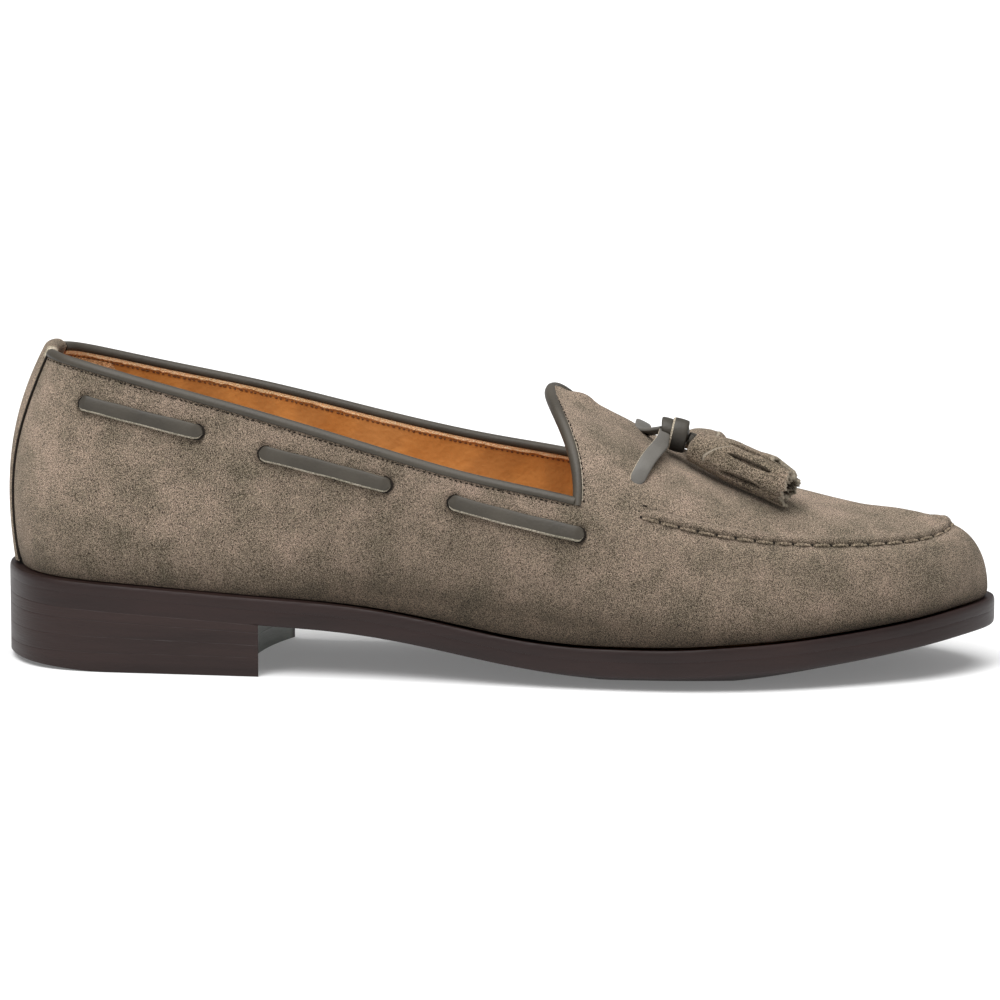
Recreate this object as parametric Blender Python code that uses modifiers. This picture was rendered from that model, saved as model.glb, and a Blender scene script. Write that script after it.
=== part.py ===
"""Tassel loafer, right shoe, built as a maker would: stacked heel, outsole, midsole, insole, lasted upper,
apron seam, backstay, topline binding, threaded lace, knot and two tassels.

The last is worked out first, with its heel back at x = 0, toe along +X, lateral side along -Y and up along +Z.
An empty then carries every piece so that the origin lies on the floor under the middle of the sole.
"""

import math

import bmesh
import bpy
import numpy as np
from mathutils import Vector

# Driving sizes, in metres
SOLE_LENGTH = 0.297  # outsole, heel back to toe tip
BALL_WIDTH = 0.096  # last at the ball, feather edge to feather edge
COLLAR_HEIGHT = 0.093  # upper's edge at the heel back, above the floor
INSTEP_HEIGHT = 0.083  # upper's edge at the tongue peak, above the floor
SEAT_HEIGHT = 0.0204  # underside of the outsole at the heel back, above the floor

UPPER_WALL = 0.0018  # suede and lining together
OUTSOLE_THICKNESS = 0.0042
MIDSOLE_THICKNESS = 0.0035
INSOLE_THICKNESS = 0.0022
CLEARANCE = 0.0003  # gap between pieces that meet

SOLE_MARGIN = 0.0032  # widest reach of the sole past the feather edge
SOLE_EDGE_ROUND = 0.0007
HEEL_EDGE_ROUND = 0.0004
INSOLE_INSET = 0.0005  # past the wall and the clearance

TOP_PIECE_THICKNESS = 0.0058
HEEL_BEVEL = 0.0022  # how far the heel's back edge is lifted off the floor
HEEL_BEVEL_REACH = 0.030
BREAST_HOLLOW = 0.0065  # depth of the curve in the heel's front face
HEEL_LIFT_SHARES = (0.0, 0.39, 0.78, 1.0)  # lines between the lifts, from the top piece up

BINDING_HEIGHT = 0.0024  # on the outside of the upper, below its edge
BINDING_CREST = 0.0011  # over the edge
BINDING_LEATHER = 0.0006

BACKSTAY_WIDTH = 0.0150  # at the top
BACKSTAY_FLARE = 0.0030  # what it gains towards the sole
BACKSTAY_THICKNESS = 0.0010
BACKSTAY_FOLD = 0.0070  # how far it turns down inside the heel

SEAM_WIDTH = 0.0036
SEAM_HEIGHT = 0.0015

LACE_WIDTH = 0.0046
LACE_THICKNESS = 0.0015
KNOT_LENGTH = 0.0084
KNOT_RADIUS = 0.0055
THONG_RADIUS = 0.0017

TASSEL_LENGTH = 0.0340
TASSEL_HEAD_RADIUS = 0.0048
TASSEL_SKIRT_RADIUS = 0.0062
TASSEL_STRIPS = 8
TASSEL_CLEARANCE = 0.0006

# How finely the shapes are divided
STEPS_PER_STATION = 3
WALL_ROWS = 7
TOP_ROWS = 5
BAR_STEPS = 7

# Stations round the shoe, heel back to toe tip. Foot is the feather edge, where the upper meets the sole.
# Line is the collar's edge as far as the throat, and the apron seam in front of it.
# Along is a share of SOLE_LENGTH, across of BALL_WIDTH and height of COLLAR_HEIGHT. Flare and lean are the wall's
# angles from upright at the foot, outwards, and at the line, inwards. Margin is a share of SOLE_MARGIN.
STATION_COLUMNS = (
    "foot_along", "foot_across", "line_along", "line_across", "line_height", "flare", "lean", "margin",
)
BACK_STATION = ("heel_back", 0.0111, 0.005, 0.0428, 0.003, 1.0, 8.0, 28.0, 0.97)
LATERAL_STATIONS = (
    ("heel_round", 0.0276, 0.178, 0.0525, 0.128, 0.998, 10.0, 22.0, 0.94),
    ("heel_corner", 0.0744, 0.290, 0.0842, 0.206, 0.978, 10.0, 14.0, 0.94),
    ("heel_side", 0.1616, 0.322, 0.1549, 0.267, 0.925, 9.0, 10.0, 0.92),
    ("breast", 0.2694, 0.348, 0.2559, 0.308, 0.845, 8.0, 9.0, 0.90),
    ("waist", 0.3704, 0.377, 0.3636, 0.346, 0.753, 7.0, 9.0, 0.85),
    ("quarter", 0.4781, 0.429, 0.4781, 0.388, 0.658, 6.0, 13.0, 0.95),
    ("throat", 0.5825, 0.482, 0.5865, 0.419, 0.590, 6.0, 24.0, 1.0),
    ("ball", 0.6869, 0.508, 0.6869, 0.396, 0.503, 5.0, 35.0, 1.0),
    ("forepart", 0.7744, 0.477, 0.7710, 0.357, 0.452, 5.0, 44.0, 1.0),
    ("apron", 0.8519, 0.396, 0.8434, 0.302, 0.434, 5.0, 54.0, 0.95),
    ("toe_side", 0.9175, 0.300, 0.9024, 0.224, 0.432, 5.0, 62.0, 0.85),
    ("toe_round", 0.9640, 0.180, 0.9411, 0.123, 0.439, 5.0, 70.0, 0.75),
)
TOE_STATION = ("toe_tip", 0.9926, 0.005, 0.9556, 0.003, 0.452, 4.0, 74.0, 0.69)
MEDIAL_STATIONS = (
    ("heel_round", 0.0276, 0.173, 0.0525, 0.131, 0.992, 10.0, 22.0, 0.94),
    ("heel_corner", 0.0758, 0.281, 0.0842, 0.206, 0.966, 11.0, 14.0, 0.94),
    ("heel_side", 0.1616, 0.295, 0.1549, 0.260, 0.911, 12.0, 10.0, 0.90),
    ("breast", 0.2795, 0.263, 0.2559, 0.283, 0.843, 15.0, 7.0, 0.82),
    ("waist", 0.3805, 0.246, 0.3636, 0.302, 0.758, 19.0, 6.0, 0.65),
    ("quarter", 0.4882, 0.297, 0.4781, 0.339, 0.673, 16.0, 10.0, 0.70),
    ("throat", 0.5926, 0.401, 0.5865, 0.380, 0.607, 10.0, 22.0, 0.90),
    ("ball", 0.6970, 0.477, 0.6869, 0.367, 0.523, 6.0, 34.0, 1.0),
    ("forepart", 0.7845, 0.458, 0.7710, 0.335, 0.468, 5.0, 43.0, 1.0),
    ("apron", 0.8620, 0.380, 0.8434, 0.286, 0.444, 5.0, 53.0, 0.95),
    ("toe_side", 0.9242, 0.285, 0.9024, 0.215, 0.438, 5.0, 61.0, 0.85),
    ("toe_round", 0.9667, 0.172, 0.9411, 0.120, 0.442, 5.0, 70.0, 0.75),
)
BREAST = 4  # station numbers
THROAT = 7
TOE = len(LATERAL_STATIONS) + 1
ROUND = 2 * TOE  # once round the shoe

# Ridge of the instep from the throat to the front of the apron. Along is a share of SOLE_LENGTH, height of
# INSTEP_HEIGHT.
RIDGE = (
    ("tongue_peak", 0.5515, 0.996),
    ("instep", 0.6330, 0.847),
    ("knot_seat", 0.7010, 0.714),
    ("vamp", 0.7740, 0.640),
    ("apron", 0.8350, 0.588),
    ("apron_front", 0.8704, 0.570),
    ("apron_end", 0.8855, 0.567),
)

# Underside of the outsole. Along is a share of SOLE_LENGTH. Edge and middle are heights as shares of SEAT_HEIGHT;
# below the floor they are cut level, which makes the tread's flat spot.
UNDERSIDE = (
    ("heel_back", 0.0, 1.0, 1.0),
    ("heel_seat", 0.1347, 0.877, 0.877),
    ("breast", 0.2727, 0.752, 0.752),
    ("waist_back", 0.3535, 0.681, 0.647),
    ("waist", 0.4377, 0.520, 0.451),
    ("arch_front", 0.5219, 0.314, 0.196),
    ("ball_back", 0.5892, 0.225, 0.040),
    ("ball", 0.6397, 0.216, -0.030),
    ("tread", 0.6902, 0.225, -0.030),
    ("tread_front", 0.7340, 0.260, -0.010),
    ("forepart", 0.7912, 0.310, 0.093),
    ("spring", 0.8586, 0.402, 0.260),
    ("toe", 0.9259, 0.525, 0.450),
    ("toe_round", 0.9764, 0.622, 0.590),
    ("toe_tip", 1.0, 0.640, 0.640),
)
FLAT_ACROSS = 0.5  # share of the half width that keeps the middle's height

# Lace bars through the quarters: station and share of the wall's height at the back and the front end.
LACE_BARS = (
    ("rear", 2.08, 0.838, 3.58, 0.836),
    ("middle", 4.12, 0.810, 5.34, 0.814),
    ("front", 5.85, 0.822, 7.10, 0.778),
)
KNOT_PLACE = (0.6675, -0.064)
KNOT_PITCH = math.radians(-15.0)
# Vamp lace: places it crosses from its slot to the knot. Places are seen from above, as along and across shares.
VAMP_LACE_RISE = 0.0022  # how far the lace has left the vamp where it enters the knot
VAMP_LACES = (
    ("lateral", ((0.6425, -0.362), (0.6480, -0.290), (0.6545, -0.215), (0.6595, -0.150))),
    ("medial", ((0.6425, 0.350), (0.6480, 0.270), (0.6520, 0.190), (0.6550, 0.110), (0.6575, 0.045))),
)
# Tassels: name, place of the head, heading, from straight ahead towards the medial side, rise of the head and of the
# tip off the vamp, which lets one lie over the apron seam, and height as a share of the width.
TASSELS = (
    ("lateral", (0.6900, -0.088), math.radians(-19.0), (0.0006, 0.0), 1.0),
    ("medial", (0.6850, 0.100), math.radians(70.0), (0.0014, 0.0026), 0.65),
)
# Turned profile of a tassel: share of the length, share of the way from the head's radius to the skirt's, and depth
# of the slits between strips as a share of the radius.
TASSEL_PROFILE = (
    (0.00, -0.80, 0.0),
    (0.05, -0.10, 0.0),
    (0.18, 0.45, 0.0),
    (0.32, 0.90, 0.05),
    (0.44, 1.00, 0.22),
    (0.64, 1.00, 0.32),
    (0.86, 0.85, 0.40),
    (1.00, 0.60, 0.44),
)
STRIP_ENDS = (0.0, -0.05, 0.03, -0.02, 0.045, -0.04, 0.02, -0.06)  # uneven ends, shares of the length

SUEDE = ((0.250, 0.205, 0.165), 0.95)
BINDING_GREY = ((0.095, 0.090, 0.082), 0.55)
SOLE_BROWN = ((0.060, 0.040, 0.038), 0.42)
TOP_PIECE_BROWN = ((0.045, 0.032, 0.030), 0.60)
LINING_TAN = ((0.560, 0.290, 0.110), 0.60)


def clear_scene():
    for item in list(bpy.data.objects):
        bpy.data.objects.remove(item)


def material(name, finish):
    """Principled material with a plain colour and roughness."""
    made = bpy.data.materials.new(name)
    made.use_nodes = True
    shader = made.node_tree.nodes["Principled BSDF"]
    colour, roughness = finish
    shader.inputs["Base Color"].default_value = (*colour, 1.0)
    shader.inputs["Roughness"].default_value = roughness
    shader.inputs["Metallic"].default_value = 0.0
    return made


def periodic_spline(values):
    """Smooth closed curve through values at 0, 1, 2 and so on: a function of the station."""
    values = np.asarray(values, float)
    count = len(values)
    bend = np.zeros((count, count))
    for i in range(count):
        bend[i, i] = 4.0
        bend[i, (i - 1) % count] = 1.0
        bend[i, (i + 1) % count] = 1.0
    second = np.linalg.solve(bend, 6.0 * (np.roll(values, 1) - 2.0 * values + np.roll(values, -1)))

    def at(station):
        i = math.floor(station)
        part = station - i
        a, b = i % count, (i + 1) % count
        left = (1.0 - part) ** 3 - (1.0 - part)
        right = part**3 - part
        return (1.0 - part) * values[a] + part * values[b] + (left * second[a] + right * second[b]) / 6.0

    return at


def open_spline(places, values):
    """Smooth curve through values at rising places, held straight past its ends."""
    places, values = np.asarray(places, float), np.asarray(values, float)
    count = len(places)
    steps = np.diff(places)
    slopes = np.diff(values) / steps
    bend, pull = np.eye(count), np.zeros(count)
    for i in range(1, count - 1):
        bend[i, i - 1 : i + 2] = steps[i - 1], 2.0 * (steps[i - 1] + steps[i]), steps[i]
        pull[i] = 6.0 * (slopes[i] - slopes[i - 1])
    second = np.linalg.solve(bend, pull)

    def at(place):
        i = int(np.clip(np.searchsorted(places, place) - 1, 0, count - 2))
        left, right = places[i + 1] - place, place - places[i]
        if left < 0.0 or right < 0.0:
            near = i + 1 if left < 0.0 else i
            sign = 1.0 if left < 0.0 else -1.0
            slope = slopes[i] + sign * steps[i] * (second[i] + second[i + 1] + second[near]) / 6.0
            return values[near] + slope * (place - places[near])
        straight = (values[i] * left + values[i + 1] * right) / steps[i]
        curved = second[i] * (left**3 / steps[i] - left * steps[i])
        curved += second[i + 1] * (right**3 / steps[i] - right * steps[i])
        return straight + curved / 6.0

    return at


def station_tables():
    """One closed spline for each column, right round the shoe."""
    lateral = [(*row[:2], -row[2], row[3], -row[4], *row[5:]) for row in LATERAL_STATIONS]
    rows = [BACK_STATION, *lateral, TOE_STATION, *reversed(MEDIAL_STATIONS)]
    return {name: periodic_spline([row[i + 1] for row in rows]) for i, name in enumerate(STATION_COLUMNS)}


STATION = station_tables()
RIDGE_ALONG = open_spline(range(THROAT, TOE + 1), [row[1] for row in RIDGE])
RIDGE_HEIGHT = open_spline(range(THROAT, TOE + 1), [row[2] for row in RIDGE])
EDGE_HEIGHT = open_spline([row[1] for row in UNDERSIDE], [row[2] for row in UNDERSIDE])
MIDDLE_HEIGHT = open_spline([row[1] for row in UNDERSIDE], [row[3] for row in UNDERSIDE])
TINY = 1e-3


def foot_plan(station):
    """Feather edge seen from above."""
    return np.array([
        STATION["foot_along"](station) * SOLE_LENGTH,
        STATION["foot_across"](station) * BALL_WIDTH,
    ])


def outward(station):
    """Level direction that points away from the shoe at the feather edge."""
    way = foot_plan(station + TINY) - foot_plan(station - TINY)
    way /= np.linalg.norm(way)
    return np.array([way[1], -way[0], 0.0])


def sole_plan(station, offset):
    """Sole's outline, moved outwards by offset."""
    reach = STATION["margin"](station) * SOLE_MARGIN + offset
    return foot_plan(station) + outward(station)[:2] * reach


def underside(along, spread):
    """Height of the outsole's underside. Spread is 0 on the middle line and 1 at the edge."""
    share = along / SOLE_LENGTH
    edge = EDGE_HEIGHT(share) * SEAT_HEIGHT
    middle = max(0.0, MIDDLE_HEIGHT(share) * SEAT_HEIGHT)
    rise = max(0.0, (spread - FLAT_ACROSS) / (1.0 - FLAT_ACROSS)) ** 2
    return middle + (edge - middle) * rise


def sole_stack():
    """Height of the midsole's top over the outsole's underside."""
    return OUTSOLE_THICKNESS + CLEARANCE + MIDSOLE_THICKNESS


def unit(vector):
    return vector / np.linalg.norm(vector)


def bezier(points, share):
    a, b, c, d = points
    back = 1.0 - share
    return back**3 * a + 3.0 * back**2 * share * b + 3.0 * back * share**2 * c + share**3 * d


def foot_point(station):
    plan = foot_plan(station)
    height = underside(plan[0], 1.0) + sole_stack() + CLEARANCE
    return np.array([plan[0], plan[1], height])


def line_point(station):
    return np.array([
        STATION["line_along"](station) * SOLE_LENGTH,
        STATION["line_across"](station) * BALL_WIDTH,
        STATION["line_height"](station) * COLLAR_HEIGHT,
    ])


def ridge_point(station):
    near = min(station, ROUND - station)
    return np.array([RIDGE_ALONG(near) * SOLE_LENGTH, 0.0, RIDGE_HEIGHT(near) * INSTEP_HEIGHT])


def ridge_slope(station):
    near = min(station, ROUND - station)
    rise = RIDGE_HEIGHT(near + TINY) - RIDGE_HEIGHT(near - TINY)
    run = RIDGE_ALONG(near + TINY) - RIDGE_ALONG(near - TINY)
    return rise * INSTEP_HEIGHT / (run * SOLE_LENGTH)


def lean_way(station):
    """Direction in which the wall arrives at the line, going up."""
    lean = math.radians(STATION["lean"](station))
    return np.array([0.0, 0.0, math.cos(lean)]) - outward(station) * math.sin(lean)


WALL_HANDLES = (0.36, 0.38)
TOP_HANDLES = (0.36, 0.44)


def last_point(station, level):
    """Outer surface of the upper. Level 0 is the foot, 1 the line and 2 the instep ridge."""
    line = line_point(station)
    if level <= 1.0:
        foot = foot_point(station)
        flare = math.radians(STATION["flare"](station))
        rise = np.array([0.0, 0.0, math.cos(flare)]) + outward(station) * math.sin(flare)
        chord = np.linalg.norm(line - foot)
        first, last = (handle * chord for handle in WALL_HANDLES)
        return bezier((foot, foot + rise * first, line - lean_way(station) * last, line), level)
    ridge = ridge_point(station)
    # Seen from above the wall meets the ridge squarely at the throat, so the tongue's edge is round
    slant = min(1.0, (min(station, ROUND - station) - THROAT) / 2.0)
    square = np.array([0.0, math.copysign(1.0, ridge[1] - line[1]), 0.0])
    way = unit(square * (1.0 - slant) + unit((ridge - line) * (1.0, 1.0, 0.0)) * slant)
    way = unit(way + np.array([0.0, 0.0, ridge_slope(station) * way[0]]))
    chord = np.linalg.norm(ridge - line)
    first, last = (handle * chord for handle in TOP_HANDLES)
    return bezier((line, line + lean_way(station) * first, ridge - way * last, ridge), level - 1.0)


def last_frame(station, level):
    """Point of the outer surface with its outward normal."""
    low, high = (0.0, 1.0) if level <= 1.0 else (1.0, 2.0)
    up = last_point(station, min(level + TINY, high)) - last_point(station, max(level - TINY, low))
    along = last_point(station + TINY, level) - last_point(station - TINY, level)
    return last_point(station, level), unit(np.cross(along, up))


def mesh_object(name, points, faces, finish, smooth_angle=35.0):
    """Named object from points and faces, with its normals made consistent."""
    mesh = bpy.data.meshes.new(name)
    mesh.from_pydata([tuple(float(v) for v in p) for p in points], [], faces)
    shape = bmesh.new()
    shape.from_mesh(mesh)
    bmesh.ops.recalc_face_normals(shape, faces=shape.faces)
    shape.to_mesh(mesh)
    shape.free()
    mesh.shade_smooth()
    mesh.set_sharp_from_angle(angle=math.radians(smooth_angle))
    mesh.materials.append(finish)
    made = bpy.data.objects.new(name, mesh)
    PIECES.objects.link(made)
    made.parent = CARRIER
    return made


def sweep(name, rings, finish, closed=False, smooth_angle=40.0):
    """Solid through rings of points, each ring the same count, with flat ends unless it closes on itself."""
    count, size = len(rings), len(rings[0])
    points = [p for ring in rings for p in ring]
    faces = []
    for i in range(count if closed else count - 1):
        here, there = i * size, (i + 1) % count * size
        for k in range(size):
            after = (k + 1) % size
            faces.append((here + k, here + after, there + after, there + k))
    if not closed:
        faces.append(tuple(range(size)))
        faces.append(tuple(range((count - 1) * size, count * size)))
    return mesh_object(name, points, faces, finish, smooth_angle)


def stations_between(start, end, steps):
    return [start + (end - start) * i / steps for i in range(steps + 1)]


def make_upper(finish):
    """Lasted upper: one wall right round from the sole to the line, and the vamp over the instep in front."""
    count = ROUND * STEPS_PER_STATION
    points, faces, index = [], [], {}

    def vertex(column, row):
        """Number of a grid point. The ridge is shared by both sides."""
        column %= count
        if row == WALL_ROWS + TOP_ROWS and column > count // 2:
            column = count - column
        if (column, row) not in index:
            index[column, row] = len(points)
            level = row / WALL_ROWS if row <= WALL_ROWS else 1.0 + (row - WALL_ROWS) / TOP_ROWS
            points.append(last_point(column / STEPS_PER_STATION, level))
        return index[column, row]

    for column in range(count):
        vamp = THROAT * STEPS_PER_STATION <= column < (ROUND - THROAT) * STEPS_PER_STATION
        for row in range(WALL_ROWS + TOP_ROWS if vamp else WALL_ROWS):
            faces.append((
                vertex(column, row),
                vertex(column + 1, row),
                vertex(column + 1, row + 1),
                vertex(column, row + 1),
            ))
    upper = mesh_object("upper", points, faces, finish)
    wall = upper.modifiers.new("wall", "SOLIDIFY")
    wall.thickness = UPPER_WALL
    wall.offset = -1.0
    wall.use_even_offset = True
    return upper


def slab(name, rows, top, bottom, finish, edge_round):
    """Closed plate from rows of plan points, lateral to medial, with rounded edges. Its first row, and its last if
    that is one point, close it. Top and bottom give the height at a plan point and its spread. Each plan point is
    (full outline, outline moved in by edge_round, spread)."""
    points, faces = [], []

    def add(plan, height):
        points.append((plan[0], plan[1], height))
        return len(points) - 1

    upper = [[add(inner, top(full, spread)) for full, inner, spread in row] for row in rows]
    lower = [[add(inner, bottom(full, spread)) for full, inner, spread in row] for row in rows]
    for grid in (upper, lower):
        for first, second in zip(grid, grid[1:]):
            widest = max(len(first), len(second))
            for k in range(widest - 1):
                a = first[min(k, len(first) - 1)], first[min(k + 1, len(first) - 1)]
                b = second[min(k, len(second) - 1)], second[min(k + 1, len(second) - 1)]
                corners = [*a, *reversed(b)]
                faces.append(tuple(dict.fromkeys(corners)))
    # Once round the edge: out along the lateral side, across the last row and back along the medial side
    loop = [(i, 0) for i in range(len(rows))]
    loop += [(len(rows) - 1, k) for k in range(1, len(rows[-1]))]
    loop += [(i, len(rows[i]) - 1) for i in range(len(rows) - 2, 0, -1)]
    rims = [[upper[i][k] for i, k in loop]]
    for height, turn in ((top, -edge_round), (bottom, edge_round)):
        rims.append([add(rows[i][k][0], height(rows[i][k][0], rows[i][k][2]) + turn) for i, k in loop])
    rims.append([lower[i][k] for i, k in loop])
    for over, under in zip(rims, rims[1:]):
        for k in range(len(loop)):
            after = (k + 1) % len(loop)
            faces.append((over[k], over[after], under[after], under[k]))
    return mesh_object(name, points, faces, finish)


ACROSS = (0.0, 0.25, 0.75, 1.0)  # where the sole's plates are divided from side to side


def sole_rows(offset, edge_round):
    """Rows of a plate that has the sole's whole outline, moved outwards by offset."""
    rows = []
    for station in stations_between(0, TOE, TOE * STEPS_PER_STATION):
        mirror = ROUND - station
        full = sole_plan(station, offset), sole_plan(mirror, offset)
        inner = sole_plan(station, offset - edge_round), sole_plan(mirror, offset - edge_round)
        shares = (0.0,) if station in (0, TOE) else ACROSS
        rows.append([
            (full[0] + (full[1] - full[0]) * q, inner[0] + (inner[1] - inner[0]) * q, abs(2.0 * q - 1.0))
            for q in shares
        ])
    for row in (rows[0], rows[-1]):
        row[0] = (*row[0][:2], 1.0)
    return rows


def make_outsole(finish):
    return slab(
        "outsole",
        sole_rows(0.0, SOLE_EDGE_ROUND),
        lambda plan, spread: underside(plan[0], spread) + OUTSOLE_THICKNESS,
        lambda plan, spread: underside(plan[0], spread),
        finish,
        SOLE_EDGE_ROUND,
    )


def make_midsole(finish):
    lift = OUTSOLE_THICKNESS + CLEARANCE
    return slab(
        "midsole",
        sole_rows(0.0, SOLE_EDGE_ROUND),
        lambda plan, spread: underside(plan[0], spread) + lift + MIDSOLE_THICKNESS,
        lambda plan, spread: underside(plan[0], spread) + lift,
        finish,
        SOLE_EDGE_ROUND,
    )


def insole_rows(edge_round):
    """Rows inside the upper's wall. The outline follows the feather edge and not the sole's margin."""
    inset = UPPER_WALL + CLEARANCE + INSOLE_INSET
    rows = []
    for station in stations_between(0, TOE, TOE * STEPS_PER_STATION):
        sides = []
        for turn in (station, ROUND - station):
            way = outward(turn)[:2]
            sides.append((foot_plan(turn) - way * inset, foot_plan(turn) - way * (inset + edge_round)))
        (full_a, inner_a), (full_b, inner_b) = sides
        shares = (0.0,) if station in (0, TOE) else ACROSS
        rows.append([
            (full_a + (full_b - full_a) * q, inner_a + (inner_b - inner_a) * q, abs(2.0 * q - 1.0))
            for q in shares
        ])
    for row in (rows[0], rows[-1]):
        row[0] = (*row[0][:2], 1.0)
    return rows


def make_insole(finish):
    lift = sole_stack() + CLEARANCE
    return slab(
        "insole",
        insole_rows(HEEL_EDGE_ROUND),
        lambda plan, spread: underside(plan[0], spread) + lift + INSOLE_THICKNESS,
        lambda plan, spread: underside(plan[0], spread) + lift,
        finish,
        HEEL_EDGE_ROUND,
    )


HEEL_ROWS = 8
HEEL_ACROSS = 6


def heel_rows(edge_round):
    """Rows of a heel lift, bowed backwards more and more towards the hollow front face."""
    rows = []
    for i in range(HEEL_ROWS + 1):
        share = i / HEEL_ROWS
        lateral, medial = BREAST * share, ROUND - BREAST * share
        steps = [0.0] if i == 0 else [k / HEEL_ACROSS for k in range(HEEL_ACROSS + 1)]
        row = []
        for q in steps:
            bow = np.array([-BREAST_HOLLOW * share**3 * 4.0 * q * (1.0 - q), 0.0])
            front = np.array([edge_round if i == HEEL_ROWS else 0.0, 0.0])
            full = sole_plan(lateral, 0.0) * (1.0 - q) + sole_plan(medial, 0.0) * q
            inner = sole_plan(lateral, -edge_round) * (1.0 - q) + sole_plan(medial, -edge_round) * q
            row.append((full + bow, inner + bow - front, 0.0))
        rows.append(row)
    return rows


def heel_floor(plan, _spread):
    """Underside of the heel: level, with its back edge bevelled off the floor."""
    return HEEL_BEVEL * max(0.0, 1.0 - plan[0] / HEEL_BEVEL_REACH)


def lift_plane(share):
    """Height of a line between lifts, from the top piece (0) to the outsole (1)."""

    def at(plan, _spread):
        ceiling = underside(plan[0], 0.0) - CLEARANCE
        return TOP_PIECE_THICKNESS + (ceiling - TOP_PIECE_THICKNESS) * share

    return at


def make_heel(lift_finish, top_piece_finish):
    slab(
        "heel_top_piece",
        heel_rows(HEEL_EDGE_ROUND),
        lambda plan, spread: TOP_PIECE_THICKNESS - CLEARANCE,
        heel_floor,
        top_piece_finish,
        HEEL_EDGE_ROUND,
    )
    last = len(HEEL_LIFT_SHARES) - 2
    for i, (low, high) in enumerate(zip(HEEL_LIFT_SHARES, HEEL_LIFT_SHARES[1:])):
        top, bottom = lift_plane(high), lift_plane(low)
        gap = 0.0 if i == last else CLEARANCE
        slab(
            f"heel_lift_{i + 1}",
            heel_rows(HEEL_EDGE_ROUND),
            lambda plan, spread, top=top, gap=gap: top(plan, spread) - gap,
            bottom,
            lift_finish,
            HEEL_EDGE_ROUND,
        )


def topline():
    """Stations and levels along the edge of the opening, from one side of the backstay round to the other."""
    ends = backstay_station(1.0, BACKSTAY_WIDTH / 2.0 + CLEARANCE)
    steps = STEPS_PER_STATION
    first = math.ceil(ends * steps + 0.35) / steps
    collar = [ends, *stations_between(first, THROAT, round((THROAT - first) * steps))]
    path = [(station, 1.0) for station in collar]
    path += [(THROAT, 1.0 + i / TOP_ROWS) for i in range(1, TOP_ROWS + 1)]
    back = [(ROUND - station, level) for station, level in reversed(path[:-1])]
    return path + back


def edge_frames(path):
    """Point, outward normal and direction off the material at each place along the opening's edge."""
    spots = []
    for station, level in path:
        # At the throat's corner the wall and the vamp meet, so the normal is read just beside it
        spots.append(last_frame(station, level))
    frames = []
    for i, (point, normal) in enumerate(spots):
        before = spots[max(i - 1, 0)][0]
        after = spots[min(i + 1, len(spots) - 1)][0]
        arrive = unit(point - before) if i else unit(after - point)
        leave = unit(after - point) if i < len(spots) - 1 else arrive
        tangent = unit(arrive + leave)
        normal = unit(normal - tangent * np.dot(normal, tangent))
        off = unit(np.cross(tangent, normal))
        stretch = 1.0 / max(0.55, math.sqrt(max(0.0, (1.0 + np.dot(arrive, leave)) / 2.0)))
        frames.append((point, normal, off, stretch))
    # The direction off the material points up out of the collar
    sign = 1.0 if frames[2][2][2] > 0.0 else -1.0
    return [(point, normal, off * sign, stretch) for point, normal, off, stretch in frames]


def make_binding(finish):
    """Leather binding folded over the edge of the opening: a channel that the wall's edge sits in."""
    inside = 1.4 * CLEARANCE
    outer = inside + BINDING_LEATHER
    middle = -UPPER_WALL / 2.0
    half_in, half_out = UPPER_WALL / 2.0 + inside, UPPER_WALL / 2.0 + outer
    shape = (
        (half_out, -BINDING_HEIGHT),
        (half_out, BINDING_CREST - outer),
        (half_out * 0.55, BINDING_CREST),
        (-half_out * 0.55, BINDING_CREST),
        (-half_out, BINDING_CREST - outer),
        (-half_out, -BINDING_HEIGHT),
        (-half_in, -BINDING_HEIGHT),
        (-half_in, inside),
        (half_in, inside),
        (half_in, -BINDING_HEIGHT),
    )
    rings = []
    for point, normal, off, stretch in edge_frames(topline()):
        rings.append([point + normal * (middle + side) + off * rise * stretch for side, rise in shape])
    return sweep("topline_binding", rings, finish, smooth_angle=50.0)


def backstay_station(level, half_width):
    """Station at which the heel's surface is half_width away from the back."""
    station = 0.0
    while abs(last_point(station, level)[1] - last_point(0.0, level)[1]) < half_width:
        station += 0.01
    return station


BACKSTAY_ROWS = 9
BACKSTAY_COLUMNS = 6


def make_backstay(finish):
    """Strip up the heel's back seam, cut between two offsets of the upper and folded over its edge."""
    fold_level = 1.0 - BACKSTAY_FOLD / np.linalg.norm(last_point(0.0, 1.0) - last_point(0.0, 0.0))
    near, far = CLEARANCE, CLEARANCE + BACKSTAY_THICKNESS
    rings = []

    def ring(level, half, under, over):
        """Points across the strip on its underside and back across its face; each offset is (normal, off)."""
        reach = backstay_station(level, half)
        line = []
        for offset, order in ((under, 1.0), (over, -1.0)):
            for k in range(BACKSTAY_COLUMNS + 1):
                station = reach * order * (2.0 * k / BACKSTAY_COLUMNS - 1.0)
                point, normal = last_frame(station, level)
                off = unit(last_point(station, level) - last_point(station, level - 0.02))
                line.append(point + normal * offset[0] + off * offset[1])
        rings.append(line)

    for i in range(BACKSTAY_ROWS):
        level = 0.01 + i / (BACKSTAY_ROWS - 1) * 0.982
        half = (BACKSTAY_WIDTH + BACKSTAY_FLARE * (1.0 - level)) / 2.0
        ring(level, half, (near, 0.0), (far, 0.0))
    half = BACKSTAY_WIDTH / 2.0
    inner_near, inner_far = -UPPER_WALL - near, -UPPER_WALL - far
    ring(1.0, half, (near, near), (far, near))
    ring(1.0, half, (near * 0.2, near), (near * 0.2, far))
    ring(1.0, half, (-UPPER_WALL - near * 0.2, near), (-UPPER_WALL - near * 0.2, far))
    ring(1.0, half, (inner_near, near), (inner_far, near))
    ring(fold_level, half, (inner_near, 0.0), (inner_far, 0.0))
    return sweep("backstay", rings, finish, smooth_angle=55.0)


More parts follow.
